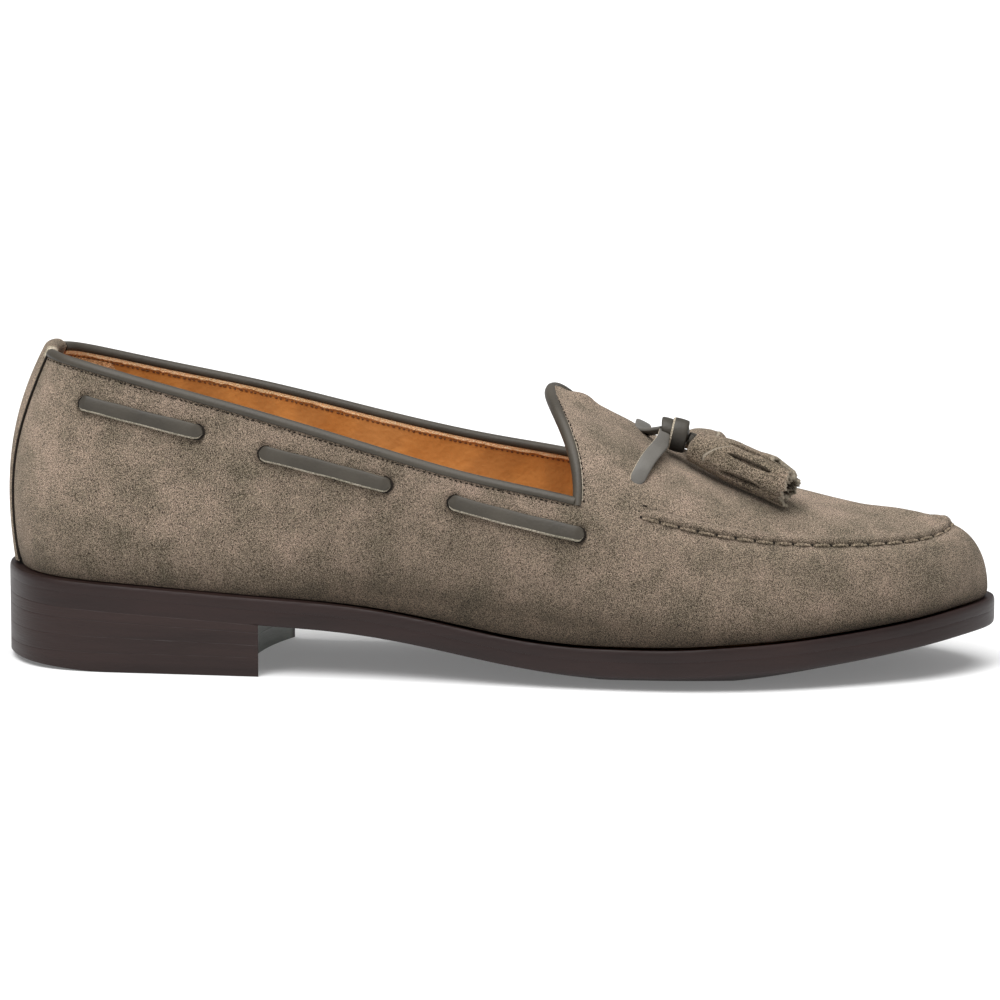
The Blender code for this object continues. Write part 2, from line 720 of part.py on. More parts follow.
SEAM_START = THROAT + 0.62  # station of the seam's back end on each side


def make_apron_seam(finish):
    """Raised seam round the apron: a low roll laid on the vamp just above the line."""
    shape = ((0.0, 0.0), (0.10, 0.62), (0.38, 1.0), (0.68, 0.92), (0.93, 0.5), (1.0, 0.0))
    stations = stations_between(SEAM_START, ROUND - SEAM_START, round((TOE - SEAM_START) * 2 * STEPS_PER_STATION))
    rings = []
    for i, station in enumerate(stations):
        ends = min(i, len(stations) - 1 - i)
        height = SEAM_HEIGHT * (0.45, 0.85, 1.0)[min(ends, 2)]
        chord = np.linalg.norm(ridge_point(station) - line_point(station))
        ring = []
        for across, rise in shape:
            point, normal = last_frame(station, 1.0 + TINY + across * SEAM_WIDTH / chord)
            ring.append(point + normal * (CLEARANCE + rise * height))
        rings.append(ring)
    return sweep("apron_seam", rings, finish)


def ribbon_ring(point, normal, side, width, thickness, lift):
    """Six points round a flat lace with rolled edges."""
    half = width / 2.0
    shape = ((-half, 0.35), (-half * 0.72, 0.0), (half * 0.72, 0.0), (half, 0.35), (half * 0.62, 1.0), (-half * 0.62, 1.0))
    return [point + side * across + normal * (lift + rise * thickness) for across, rise in shape]


def make_lace_bars(finish):
    """The lace where it shows between the slots of each quarter."""
    for side_name, sign in (("lateral", 1), ("medial", -1)):
        for name, start, start_level, end, end_level in LACE_BARS:
            rings = []
            for i in range(BAR_STEPS + 1):
                share = i / BAR_STEPS
                station = start + (end - start) * share
                level = start_level + (end_level - start_level) * share
                turn = station if sign > 0 else ROUND - station
                point, normal = last_frame(turn, level)
                ahead = last_point(turn + sign * TINY, level + (end_level - start_level) / (end - start) * TINY)
                side = unit(np.cross(normal, ahead - point))
                ends = min(i, BAR_STEPS - i)
                thickness = LACE_THICKNESS * (0.45 if ends == 0 else 1.0)
                width = LACE_WIDTH * (0.86 if ends == 0 else 1.0)
                rings.append(ribbon_ring(point, normal, side, width, thickness, CLEARANCE))
            sweep(f"lace_{side_name}_{name}", rings, finish)


def vamp_over(place):
    """Point of the vamp at a place seen from above, with its normal."""
    goal = np.array([place[0] * SOLE_LENGTH, place[1] * BALL_WIDTH])
    station = 9.0 if goal[1] < 0.0 else ROUND - 9.0
    level = 1.6
    for _ in range(20):
        spot = last_point(station, level)[:2]
        ways = [last_point(station + TINY, level)[:2] - spot, last_point(station, level + TINY)[:2] - spot]
        step = np.linalg.solve(np.column_stack(ways), goal - spot) * TINY
        station += float(np.clip(step[0], -0.5, 0.5))
        level = float(np.clip(level + step[1], 1.01, 1.995))
    return last_frame(station, level)


def knot_frame():
    """Middle of the knot, its axis towards the toe, its side and its up direction."""
    spot, normal = vamp_over(KNOT_PLACE)
    axis = np.array([math.cos(KNOT_PITCH), 0.0, math.sin(KNOT_PITCH)])
    side = np.array([0.0, 1.0, 0.0])
    return spot + normal * (KNOT_RADIUS + LACE_THICKNESS * 0.5), axis, side, np.cross(axis, side)


def make_vamp_lace(finish):
    """The lace from its slot on each side of the vamp up to the knot."""
    for name, places in VAMP_LACES:
        spots = [vamp_over(place) for place in places]
        rings = []
        for i, (point, normal) in enumerate(spots):
            way = spots[min(i + 1, len(spots) - 1)][0] - spots[max(i - 1, 0)][0]
            side = unit(np.cross(normal, way))
            thickness = LACE_THICKNESS * (0.45 if i == 0 else 1.0)
            lift = 2.0 * CLEARANCE + VAMP_LACE_RISE * (i / (len(spots) - 1)) ** 2
            rings.append(ribbon_ring(point, normal, side, LACE_WIDTH, thickness, lift))
        sweep(f"vamp_lace_{name}", rings, finish)


KNOT_SIDES = 12
KNOT_SHAPE = ((-1.0, 0.62), (-0.72, 0.90), (-0.10, 0.96), (0.10, 1.0), (0.55, 1.0), (0.85, 0.84), (1.0, 0.50))


def make_knot(finish):
    """Overhand knot that gathers both ends of the lace."""
    middle, axis, side, up = knot_frame()
    rings = []
    for share, radius in KNOT_SHAPE:
        centre = middle + axis * share * KNOT_LENGTH / 2.0
        ring = []
        for k in range(KNOT_SIDES):
            angle = 2.0 * math.pi * k / KNOT_SIDES
            out = side * math.cos(angle) * 1.05 + up * math.sin(angle) * 0.92
            ring.append(centre + out * radius * KNOT_RADIUS)
        rings.append(ring)
    return sweep("lace_knot", rings, finish)


def tassel_spot(place, heading, rises, height, share):
    """Centre of a tassel that lies on the vamp, clear of it, and its direction, at a share of its length."""

    def centre(part):
        reach = 0.93 * TASSEL_LENGTH * part
        over = place[0] + reach * math.cos(heading) / SOLE_LENGTH, place[1] + reach * math.sin(heading) / BALL_WIDTH
        spot, normal = vamp_over(over)
        radius = TASSEL_HEAD_RADIUS + (TASSEL_SKIRT_RADIUS - TASSEL_HEAD_RADIUS) * min(1.0, 3.0 * max(0.0, part))
        rise = rises[0] + (rises[1] - rises[0]) * max(0.0, part)
        return spot + normal * (radius * height + TASSEL_CLEARANCE + rise)

    return centre(share), unit(centre(share + 0.1) - centre(share - 0.1))


SLIT_SIDES = 4  # points round each strip
THONG_STEPS = 3


def make_tassel(name, place, heading, rises, height, finish):
    """Rolled suede tassel: a bound head and a skirt slit into strips with uneven ends."""
    count = TASSEL_STRIPS * SLIT_SIDES
    rings = []
    for share, widen, slit in TASSEL_PROFILE:
        middle, axis = tassel_spot(place, heading, rises, height, share)
        side = unit(np.cross(np.array([0.0, 0.0, 1.0]), axis))
        up = np.cross(axis, side) * height
        radius = TASSEL_HEAD_RADIUS + (TASSEL_SKIRT_RADIUS - TASSEL_HEAD_RADIUS) * widen
        ring = []
        for k in range(count):
            angle = 2.0 * math.pi * k / count
            in_slit = k % SLIT_SIDES == 0
            reach = radius * (1.0 - slit if in_slit else 1.0)
            trim = STRIP_ENDS[k // SLIT_SIDES % len(STRIP_ENDS)] if share == 1.0 and not in_slit else 0.0
            centre = middle + axis * trim * TASSEL_LENGTH
            ring.append(centre + (side * math.cos(angle) + up * math.sin(angle)) * reach)
        rings.append(ring)
    return sweep(f"tassel_{name}", rings, finish)


def make_thong(name, place, heading, rises, height, finish):
    """Short end of the lace between the knot and a tassel's head."""
    middle, axis, side, up = knot_frame()
    head, way = tassel_spot(place, heading, rises, height, 0.0)
    start = middle + axis * (KNOT_LENGTH / 2.0 + CLEARANCE) + side * math.copysign(THONG_RADIUS * 1.2, heading)
    end = head - way * CLEARANCE
    rings = []
    for i in range(THONG_STEPS + 1):
        share = i / THONG_STEPS
        reach = np.linalg.norm(end - start) * 0.3
        centre = bezier((start, start + axis * reach, end - way * reach, end), share)
        turn = unit(axis * (1.0 - share) + way * share)
        across = unit(np.cross(up, turn))
        over = np.cross(turn, across)
        rings.append([
            centre + (across * math.cos(angle) + over * math.sin(angle)) * THONG_RADIUS
            for angle in (2.0 * math.pi * k / 8 for k in range(8))
        ])
    return sweep(f"lace_end_{name}", rings, finish)


def place_carrier():
    """Puts the origin on the floor under the middle of the sole's box."""
    outline = np.array([sole_plan(station, 0.0) for station in stations_between(0, ROUND, ROUND * STEPS_PER_STATION)])
    middle = (outline.min(axis=0) + outline.max(axis=0)) / 2.0
    CARRIER.location = Vector((-middle[0], -middle[1], 0.0))


clear_scene()
PIECES = bpy.data.collections.new("tassel_loafer")
bpy.context.scene.collection.children.link(PIECES)
CARRIER = bpy.data.objects.new("loafer", None)
PIECES.objects.link(CARRIER)
place_carrier()

suede = material("taupe_suede", SUEDE)
grey_leather = material("grey_leather", BINDING_GREY)
sole_leather = material("sole_leather", SOLE_BROWN)
top_piece_rubber = material("top_piece", TOP_PIECE_BROWN)
tan_leather = material("tan_leather", LINING_TAN)

make_upper(suede)
make_outsole(sole_leather)
make_midsole(sole_leather)
make_insole(tan_leather)
make_heel(sole_leather, top_piece_rubber)
make_binding(grey_leather)
make_backstay(suede)
make_apron_seam(suede)
make_lace_bars(grey_leather)
make_vamp_lace(grey_leather)
make_knot(grey_leather)
for tassel in TASSELS:
    make_tassel(*tassel, suede)
    make_thong(*tassel, grey_leather)
bpy.context.view_layer.update()
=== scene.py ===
import math

import bpy
import numpy as np
from mathutils import Matrix, Vector


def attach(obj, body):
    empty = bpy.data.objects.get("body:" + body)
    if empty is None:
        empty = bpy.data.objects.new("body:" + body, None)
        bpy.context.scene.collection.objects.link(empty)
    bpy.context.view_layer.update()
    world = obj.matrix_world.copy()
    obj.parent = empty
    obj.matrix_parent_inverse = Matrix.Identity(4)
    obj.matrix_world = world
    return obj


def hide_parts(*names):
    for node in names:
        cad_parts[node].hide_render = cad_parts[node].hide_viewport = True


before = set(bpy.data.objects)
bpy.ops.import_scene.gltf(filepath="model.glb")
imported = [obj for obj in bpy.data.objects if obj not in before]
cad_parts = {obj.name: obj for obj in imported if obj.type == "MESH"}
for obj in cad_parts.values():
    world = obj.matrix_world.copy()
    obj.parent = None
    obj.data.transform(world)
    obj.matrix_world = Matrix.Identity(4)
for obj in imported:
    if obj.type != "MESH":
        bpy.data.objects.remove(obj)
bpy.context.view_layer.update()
print("frame loaded")

# Camera, at the photograph's angle to the shoe's lateral side
cameraView = {
    "turn": 4.5,  # degrees round the shoe from square on
    "height": 9.4,  # degrees above the floor
    "distance": 1.65,
    "aim": (0.0004, 0.00129, 0.045),
    "lens": 197.8,
    "shift": (-0.001, 0.010),
}


def makeCamera():
    turn, height = math.radians(cameraView["turn"]), math.radians(cameraView["height"])
    back = Vector((math.sin(turn) * math.cos(height), -math.cos(turn) * math.cos(height), math.sin(height)))
    right = Vector((math.cos(turn), math.sin(turn), 0.0))
    lens = bpy.data.cameras.new("camera")
    lens.sensor_width = 36.0
    lens.lens = cameraView["lens"]
    lens.shift_x, lens.shift_y = cameraView["shift"]
    camera = bpy.data.objects.new("camera", lens)
    bpy.context.scene.collection.objects.link(camera)
    turned = Matrix((right, back.cross(right), back)).transposed().to_4x4()
    turned.translation = Vector(cameraView["aim"]) + back * cameraView["distance"]
    camera.matrix_world = turned
    bpy.context.scene.camera = camera


makeCamera()

# The last that every piece follows, heel back at x = 0 and toe along +x, lateral side along -y
last = {
    "soleLength": 0.297,
    "ballWidth": 0.096,
    "collarHeight": 0.093,
    "instepHeight": 0.083,
    "seatHeight": 0.0204,
    "outsole": 0.0042,
    "midsole": 0.0035,
    "insole": 0.0022,
    "gap": 0.0003,
    "soleMargin": 0.0032,
    "wall": 0.0018,
    "wallHandles": (0.36, 0.38),
    "topHandles": (0.36, 0.44),
    "flatAcross": 0.5,
}

# Foot is the feather edge, line the collar's edge and then the apron seam. Along is a share of soleLength,
# across of ballWidth, height of collarHeight. Flare and lean are degrees from upright, margin is a share of
# soleMargin.
stationColumns = (
    "footAlong", "footAcross", "lineAlong", "lineAcross", "lineHeight", "flare", "lean", "margin",
)
heelBack = (0.0111, 0.005, 0.0428, 0.003, 1.0, 8.0, 28.0, 0.97)
lateralStations = (
    (0.0276, 0.178, 0.0525, 0.128, 0.998, 10.0, 22.0, 0.94),  # heel round
    (0.0744, 0.290, 0.0842, 0.206, 0.978, 10.0, 14.0, 0.94),
    (0.1616, 0.322, 0.1549, 0.267, 0.925, 9.0, 10.0, 0.92),
    (0.2694, 0.348, 0.2559, 0.308, 0.845, 8.0, 9.0, 0.90),  # breast
    (0.3704, 0.377, 0.3636, 0.346, 0.753, 7.0, 9.0, 0.85),
    (0.4781, 0.429, 0.4781, 0.388, 0.658, 6.0, 13.0, 0.95),
    (0.5825, 0.482, 0.5865, 0.419, 0.590, 6.0, 24.0, 1.0),  # throat
    (0.6869, 0.508, 0.6869, 0.396, 0.503, 5.0, 35.0, 1.0),
    (0.7744, 0.477, 0.7710, 0.357, 0.452, 5.0, 44.0, 1.0),
    (0.8519, 0.396, 0.8434, 0.302, 0.434, 5.0, 54.0, 0.95),
    (0.9175, 0.300, 0.9024, 0.224, 0.432, 5.0, 62.0, 0.85),
    (0.9640, 0.180, 0.9411, 0.123, 0.439, 5.0, 70.0, 0.75),  # toe round
)
toeTip = (0.9926, 0.005, 0.9556, 0.003, 0.452, 4.0, 74.0, 0.69)
medialStations = (
    (0.0276, 0.173, 0.0525, 0.131, 0.992, 10.0, 22.0, 0.94),
    (0.0758, 0.281, 0.0842, 0.206, 0.966, 11.0, 14.0, 0.94),
    (0.1616, 0.295, 0.1549, 0.260, 0.911, 12.0, 10.0, 0.90),
    (0.2795, 0.263, 0.2559, 0.283, 0.843, 15.0, 7.0, 0.82),
    (0.3805, 0.246, 0.3636, 0.302, 0.758, 19.0, 6.0, 0.65),
    (0.4882, 0.297, 0.4781, 0.339, 0.673, 16.0, 10.0, 0.70),
    (0.5926, 0.401, 0.5865, 0.380, 0.607, 10.0, 22.0, 0.90),
    (0.6970, 0.477, 0.6869, 0.367, 0.523, 6.0, 34.0, 1.0),
    (0.7845, 0.458, 0.7710, 0.335, 0.468, 5.0, 43.0, 1.0),
    (0.8620, 0.380, 0.8434, 0.286, 0.444, 5.0, 53.0, 0.95),
    (0.9242, 0.285, 0.9024, 0.215, 0.438, 5.0, 61.0, 0.85),
    (0.9667, 0.172, 0.9411, 0.120, 0.442, 5.0, 70.0, 0.75),
)
breastStation, throatStation, toeStation, roundStations = 4, 7, 13, 26
# Instep ridge from the throat to the apron's front: along of soleLength, height of instepHeight
instepRidge = (
    (0.5515, 0.996), (0.6330, 0.847), (0.7010, 0.714), (0.7740, 0.640), (0.8350, 0.588), (0.8704, 0.570),
    (0.8855, 0.567),
)
# Underside of the outsole: along of soleLength, edge and middle heights of seatHeight
undersideRows = (
    (0.0, 1.0, 1.0), (0.1347, 0.877, 0.877), (0.2727, 0.752, 0.752), (0.3535, 0.681, 0.647),
    (0.4377, 0.520, 0.451), (0.5219, 0.314, 0.196), (0.5892, 0.225, 0.040), (0.6397, 0.216, -0.030),
    (0.6902, 0.225, -0.030), (0.7340, 0.260, -0.010), (0.7912, 0.310, 0.093), (0.8586, 0.402, 0.260),
    (0.9259, 0.525, 0.450), (0.9764, 0.622, 0.590), (1.0, 0.640, 0.640),
)
tiny = 1e-3  # step in stations and levels for slopes
upright = np.array([0.0, 0.0, 1.0])


def closedSpline(values):  # smooth closed curve through values at 0, 1, 2 and so on
    values = np.asarray(values, float)
    count = len(values)
    nearby = np.eye(count)
    bend = 4.0 * nearby + np.roll(nearby, 1, axis=0) + np.roll(nearby, -1, axis=0)
    second = np.linalg.solve(bend, 6.0 * (np.roll(values, 1) - 2.0 * values + np.roll(values, -1)))

    def at(station):
        station = np.asarray(station, float)
        low = np.floor(station).astype(int)
        part = station - low
        a, b = low % count, (low + 1) % count
        left, right = (1.0 - part) ** 3 - (1.0 - part), part**3 - part
        return (1.0 - part) * values[a] + part * values[b] + (left * second[a] + right * second[b]) / 6.0

    return at


def openSpline(places, values):  # smooth curve through values at rising places, straight past its ends
    places, values = np.asarray(places, float), np.asarray(values, float)
    count = len(places)
    steps = np.diff(places)
    slopes = np.diff(values) / steps
    bend, pull = np.eye(count), np.zeros(count)
    for i in range(1, count - 1):
        bend[i, i - 1 : i + 2] = steps[i - 1], 2.0 * (steps[i - 1] + steps[i]), steps[i]
        pull[i] = 6.0 * (slopes[i] - slopes[i - 1])
    second = np.linalg.solve(bend, pull)
    firstSlope = slopes[0] - steps[0] * second[1] / 6.0
    lastSlope = slopes[-1] + steps[-1] * second[-2] / 6.0

    def at(place):
        place = np.asarray(place, float)
        inside = np.clip(place, places[0], places[-1])
        i = np.clip(np.searchsorted(places, inside) - 1, 0, count - 2)
        left, right = places[i + 1] - inside, inside - places[i]
        straight = (values[i] * left + values[i + 1] * right) / steps[i]
        curved = second[i] * (left**3 / steps[i] - left * steps[i])
        curved = curved + second[i + 1] * (right**3 / steps[i] - right * steps[i])
        before = np.minimum(place - places[0], 0.0) * firstSlope
        after = np.maximum(place - places[-1], 0.0) * lastSlope
        return straight + curved / 6.0 + before + after

    return at


def openSplines(places, rows):  # the same for rows of several values
    columns = [openSpline(places, column) for column in np.asarray(rows, float).T]
    return lambda place: np.column_stack([column(place) for column in columns])


def stationSplines():
    lateral = [(row[0], -row[1], row[2], -row[3], *row[4:]) for row in lateralStations]
    rows = [heelBack, *lateral, toeTip, *reversed(medialStations)]
    return {name: closedSpline([row[i] for row in rows]) for i, name in enumerate(stationColumns)}


around = stationSplines()
ridgeStations = range(throatStation, toeStation + 1)
ridgeAlong, ridgeHeight = [openSpline(ridgeStations, column) for column in zip(*instepRidge)]
undersidePlaces, *undersideHeights = zip(*undersideRows)
edgeHeight, middleHeight = [openSpline(undersidePlaces, heights) for heights in undersideHeights]


def unit(vectors):
    return vectors / np.linalg.norm(vectors, axis=-1, keepdims=True)


def stack3(x, y, z):
    return np.stack(np.broadcast_arrays(x, y, z), axis=-1).astype(float)


def smoothStep(low, high, value):
    share = np.clip((value - low) / (high - low), 0.0, 1.0)
    return share * share * (3.0 - 2.0 * share)


def between(value, span):  # span: where it starts, is full, starts to fall and is gone
    return smoothStep(span[0], span[1], value) * (1.0 - smoothStep(span[2], span[3], value))


def bell(value, reach, power=2):
    return np.exp(-((value / reach) ** power))


def stepsIn(count):  # how many steps each of count points is from the nearer end
    return np.minimum(np.arange(count), np.arange(count)[::-1])


def runAlong(points):
    return np.concatenate([[0.0], np.cumsum(np.linalg.norm(np.diff(points, axis=0), axis=1))])


def nearSide(station):  # the matching station of the lateral side
    return np.minimum(station, roundStations - station)


def footPlan(station):
    along, across = around["footAlong"](station), around["footAcross"](station)
    return stack3(along * last["soleLength"], across * last["ballWidth"], 0.0)


def outward(station):
    way = unit(footPlan(station + tiny) - footPlan(station - tiny))
    return stack3(way[..., 1], -way[..., 0], 0.0)


def underside(along, spread):
    share = along / last["soleLength"]
    edge = edgeHeight(share) * last["seatHeight"]
    middle = np.maximum(0.0, middleHeight(share) * last["seatHeight"])
    rise = np.maximum(0.0, (spread - last["flatAcross"]) / (1.0 - last["flatAcross"])) ** 2
    return middle + (edge - middle) * rise


soleStack = last["outsole"] + last["gap"] + last["midsole"]


def footPoint(station):
    plan = footPlan(station)
    return plan + upright * (underside(plan[..., 0], 1.0) + soleStack + last["gap"])[..., None]


def linePoint(station):
    return stack3(
        around["lineAlong"](station) * last["soleLength"],
        around["lineAcross"](station) * last["ballWidth"],
        around["lineHeight"](station) * last["collarHeight"],
    )


def ridgePoint(station):
    near = nearSide(station)
    return stack3(ridgeAlong(near) * last["soleLength"], 0.0, ridgeHeight(near) * last["instepHeight"])


def curve4(a, b, c, d, share):
    back = 1.0 - share
    return back**3 * a + 3.0 * back**2 * share * b + 3.0 * back * share**2 * c + share**3 * d


def lastPoint(station, level):  # level 0 is the foot, 1 the line and 2 the instep ridge
    station, level = np.broadcast_arrays(np.asarray(station, float), np.asarray(level, float))
    share = level[..., None]
    line, foot, out = linePoint(station), footPoint(station), outward(station)
    lean = np.radians(around["lean"](station))[..., None]
    flare = np.radians(around["flare"](station))[..., None]
    arrive = upright * np.cos(lean) - out * np.sin(lean)
    leave = upright * np.cos(flare) + out * np.sin(flare)
    chord = np.linalg.norm(line - foot, axis=-1, keepdims=True)
    first, final = last["wallHandles"]
    low, high = foot + leave * first * chord, line - arrive * final * chord
    wall = curve4(foot, low, high, line, np.minimum(share, 1.0))
    ridge = ridgePoint(station)
    near = nearSide(station)
    slant = np.clip((near - throatStation) / 2.0, 0.0, 1.0)[..., None]
    square = stack3(0.0, np.where(line[..., 1] < 0.0, 1.0, -1.0), 0.0)
    flatWay = (ridge - line) * (1.0, 1.0, 0.0)
    way = unit(square * (1.0 - slant) + unit(flatWay + square * 1e-9) * slant)
    run = ridgeAlong(near + tiny) - ridgeAlong(near - tiny)
    rise = ridgeHeight(near + tiny) - ridgeHeight(near - tiny)
    slope = rise * last["instepHeight"] / (run * last["soleLength"])
    way = unit(way + upright * (slope * way[..., 0])[..., None])
    chord = np.linalg.norm(ridge - line, axis=-1, keepdims=True)
    first, final = last["topHandles"]
    low, high = line + arrive * first * chord, ridge - way * final * chord
    top = curve4(line, low, high, ridge, np.maximum(share, 1.0) - 1.0)
    return np.where(share <= 1.0, wall, top)


def lastFrame(station, level):  # points of the outer surface with their outward normals
    station, level = np.broadcast_arrays(np.asarray(station, float), np.asarray(level, float))
    low = np.where(level <= 1.0, 0.0, 1.0)
    above = lastPoint(station, np.minimum(level + tiny, low + 1.0))
    below = lastPoint(station, np.maximum(level - tiny, low))
    along = lastPoint(station + tiny, level) - lastPoint(station - tiny, level)
    return lastPoint(station, level), unit(np.cross(along, above - below))


vampSearch = {"station": 9.0, "level": 1.6, "rounds": 20, "step": 0.5, "levels": (1.01, 1.995)}


def vampOver(along, across):  # point of the vamp seen from above, with its normal
    goal = np.array([along * last["soleLength"], across * last["ballWidth"]])
    station = vampSearch["station"] if goal[1] < 0.0 else roundStations - vampSearch["station"]
    level = vampSearch["level"]
    for _ in range(vampSearch["rounds"]):
        spot = lastPoint(station, level)[:2]
        ways = [lastPoint(station + tiny, level)[:2] - spot, lastPoint(station, level + tiny)[:2] - spot]
        step = np.linalg.solve(np.column_stack(ways), goal - spot) * tiny
        station += float(np.clip(step[0], -vampSearch["step"], vampSearch["step"]))
        level = float(np.clip(level + step[1], *vampSearch["levels"]))
    return lastFrame(station, level)


def solePlan(station, offset):
    reach = around["margin"](station) * last["soleMargin"] + offset
    return footPlan(station) + outward(station) * np.asarray(reach)[..., None]


def originShift():  # the origin lies under the middle of the sole's outline
    outline = solePlan(np.linspace(0, roundStations, roundStations * 3 + 1), 0.0)
    middle = (outline.min(axis=0) + outline.max(axis=0)) / 2.0
    return np.array([-middle[0], -middle[1], 0.0])


shift = originShift()
print("last worked out, shifted by", [round(float(v), 5) for v in shift])


# Finishes. Colours are linear.
def newGroup(name, inputs, outputs):
    group = bpy.data.node_groups.new(name, "ShaderNodeTree")
    for label, kind, value in inputs:
        socket = group.interface.new_socket(name=label, in_out="INPUT", socket_type="NodeSocket" + kind)
        if value is not None:
            socket.default_value = value
    for label, kind in outputs:
        group.interface.new_socket(name=label, in_out="OUTPUT", socket_type="NodeSocket" + kind)
    return group, group.nodes.new("NodeGroupInput"), group.nodes.new("NodeGroupOutput")


def feedNode(tree, node, values):  # a number or colour is set, another node's output is linked
    for label, value in values.items():
        socket = node.inputs[label]
        if isinstance(value, (int, float)):
            socket.default_value = value
        elif isinstance(value, tuple):
            socket.default_value = (*value, 1.0)
        else:
            tree.links.new(value, socket)


def noiseNode(tree, where, scale, detail, roughness=0.5):
    node = tree.nodes.new("ShaderNodeTexNoise")
    feedNode(tree, node, {"Vector": where, "Scale": scale, "Detail": detail, "Roughness": roughness})
    return node.outputs["Fac"]


def mathNode(tree, kind, a, b=0.0, limit=False):
    node = tree.nodes.new("ShaderNodeMath")
    node.operation, node.use_clamp = kind, limit
    feedNode(tree, node, {0: a, 1: b})
    return node.outputs[0]


def blendNode(tree, a, b, share, limit=False):  # share of a, and b for the rest
    first, second = mathNode(tree, "MULTIPLY", a, share), mathNode(tree, "MULTIPLY", b, 1.0 - share)
    return mathNode(tree, "ADD", first, second, limit)


def spreadNode(tree, value, low=0.3, high=0.7, newLow=0.0, newHigh=1.0):
    node = tree.nodes.new("ShaderNodeMapRange")
    feedNode(tree, node, {0: value, 1: low, 2: high, 3: newLow, 4: newHigh})
    return node.outputs[0]


def mixNode(tree, factor, a, b, blend="MIX"):
    node = tree.nodes.new("ShaderNodeMix")
    node.data_type, node.blend_type = "RGBA", blend
    feedNode(tree, node, {0: factor, 6: a, 7: b})
    return node.outputs[2]


def attributeNode(tree, name):
    node = tree.nodes.new("ShaderNodeAttribute")
    node.attribute_name = name
    return node.outputs["Fac"]


napSizes = {
    "tufts": 0.45,  # scale of the small tufts as a share of the grain's
    "clouds": 110.0,
    "broad": 34.0,
    "speckleShare": 0.82,
    "cloudShare": 0.6,
    "power": 1.6,  # keeps the dark side of the speckle dark
    # Brushed one way the nap looks olive and dark, the other way rosy and pale
    "against": (0.80, 0.83, 0.76),
    "along": (1.21, 1.13, 1.14),
}


def makeNapGroup():  # brushed suede: fine speckle, small tufts and soft cloudy patches
    group, give, take = newGroup(
        "suedeNap",
        (("Where", "Vector", None), ("Dark", "Color", None), ("Light", "Color", None),
         ("Speckle", "Float", 0.5), ("Patches", "Float", 0.3), ("Grain", "Float", 4200.0)),
        (("Color", "Color"), ("Height", "Float")),
    )
    where, grain = give.outputs["Where"], give.outputs["Grain"]
    fine = noiseNode(group, where, grain, 1.0, 0.6)
    tufts = noiseNode(group, where, mathNode(group, "MULTIPLY", grain, napSizes["tufts"]), 1.0)
    clouds = noiseNode(group, where, napSizes["clouds"], 3.0, 0.6)
    broad = noiseNode(group, where, napSizes["broad"], 2.0)
    fine, tufts = spreadNode(group, fine), spreadNode(group, tufts, 0.32, 0.68)
    speckle = blendNode(group, fine, tufts, napSizes["speckleShare"])
    patches = blendNode(group, spreadNode(group, clouds), spreadNode(group, broad), napSizes["cloudShare"])
    parts = [mathNode(group, "MULTIPLY", mathNode(group, "SUBTRACT", value, 0.5), give.outputs[strength])
             for value, strength in ((speckle, "Speckle"), (patches, "Patches"))]
    shade = mathNode(group, "ADD", mathNode(group, "ADD", *parts), 0.5, limit=True)
    tone = mathNode(group, "POWER", shade, napSizes["power"])
    colour = mixNode(group, tone, give.outputs["Dark"], give.outputs["Light"])
    brushed = mixNode(group, patches, napSizes["against"], napSizes["along"])
    feedNode(group, take, {"Color": mixNode(group, 1.0, colour, brushed, "MULTIPLY"), "Height": speckle})
    return group


def makeGrainGroup():  # smooth leather: pores, faint wrinkles and a little cloudiness
    group, give, take = newGroup(
        "leatherGrain",
        (("Where", "Vector", None), ("Dark", "Color", None), ("Light", "Color", None),
         ("Pores", "Float", 900.0), ("Clouds", "Float", 60.0)),
        (("Color", "Color"), ("Height", "Float"), ("Gloss", "Float")),
    )
    where = give.outputs["Where"]
    pores = group.nodes.new("ShaderNodeTexVoronoi")
    feedNode(group, pores, {"Vector": where, "Scale": give.outputs["Pores"]})
    fine = noiseNode(group, where, mathNode(group, "MULTIPLY", give.outputs["Pores"], 1.7), 3.0, 0.6)
    clouds = noiseNode(group, where, give.outputs["Clouds"], 3.0, 0.6)
    tone = blendNode(group, spreadNode(group, clouds), fine, 0.7, limit=True)
    colour = mixNode(group, tone, give.outputs["Dark"], give.outputs["Light"])
    height = blendNode(group, pores.outputs["Distance"], fine, 0.5)
    feedNode(group, take, {"Color": colour, "Height": height, "Gloss": clouds})
    return group


napGroup, grainGroup = makeNapGroup(), makeGrainGroup()


def startMaterial(name):
    made = bpy.data.materials.new(name)
    made.use_nodes = True
    tree = made.node_tree
    return made, tree, tree.nodes["Principled BSDF"], tree.nodes.new("ShaderNodeTexCoord").outputs["Object"]


def placeGroup(tree, group, values):
    node = tree.nodes.new("ShaderNodeGroup")
    node.node_tree = group
    feedNode(tree, node, values)
    return node


def bumpNode(tree, height, strength, distance):
    node = tree.nodes.new("ShaderNodeBump")
    feedNode(tree, node, {"Strength": strength, "Distance": distance, "Height": height})
    return node.outputs["Normal"]


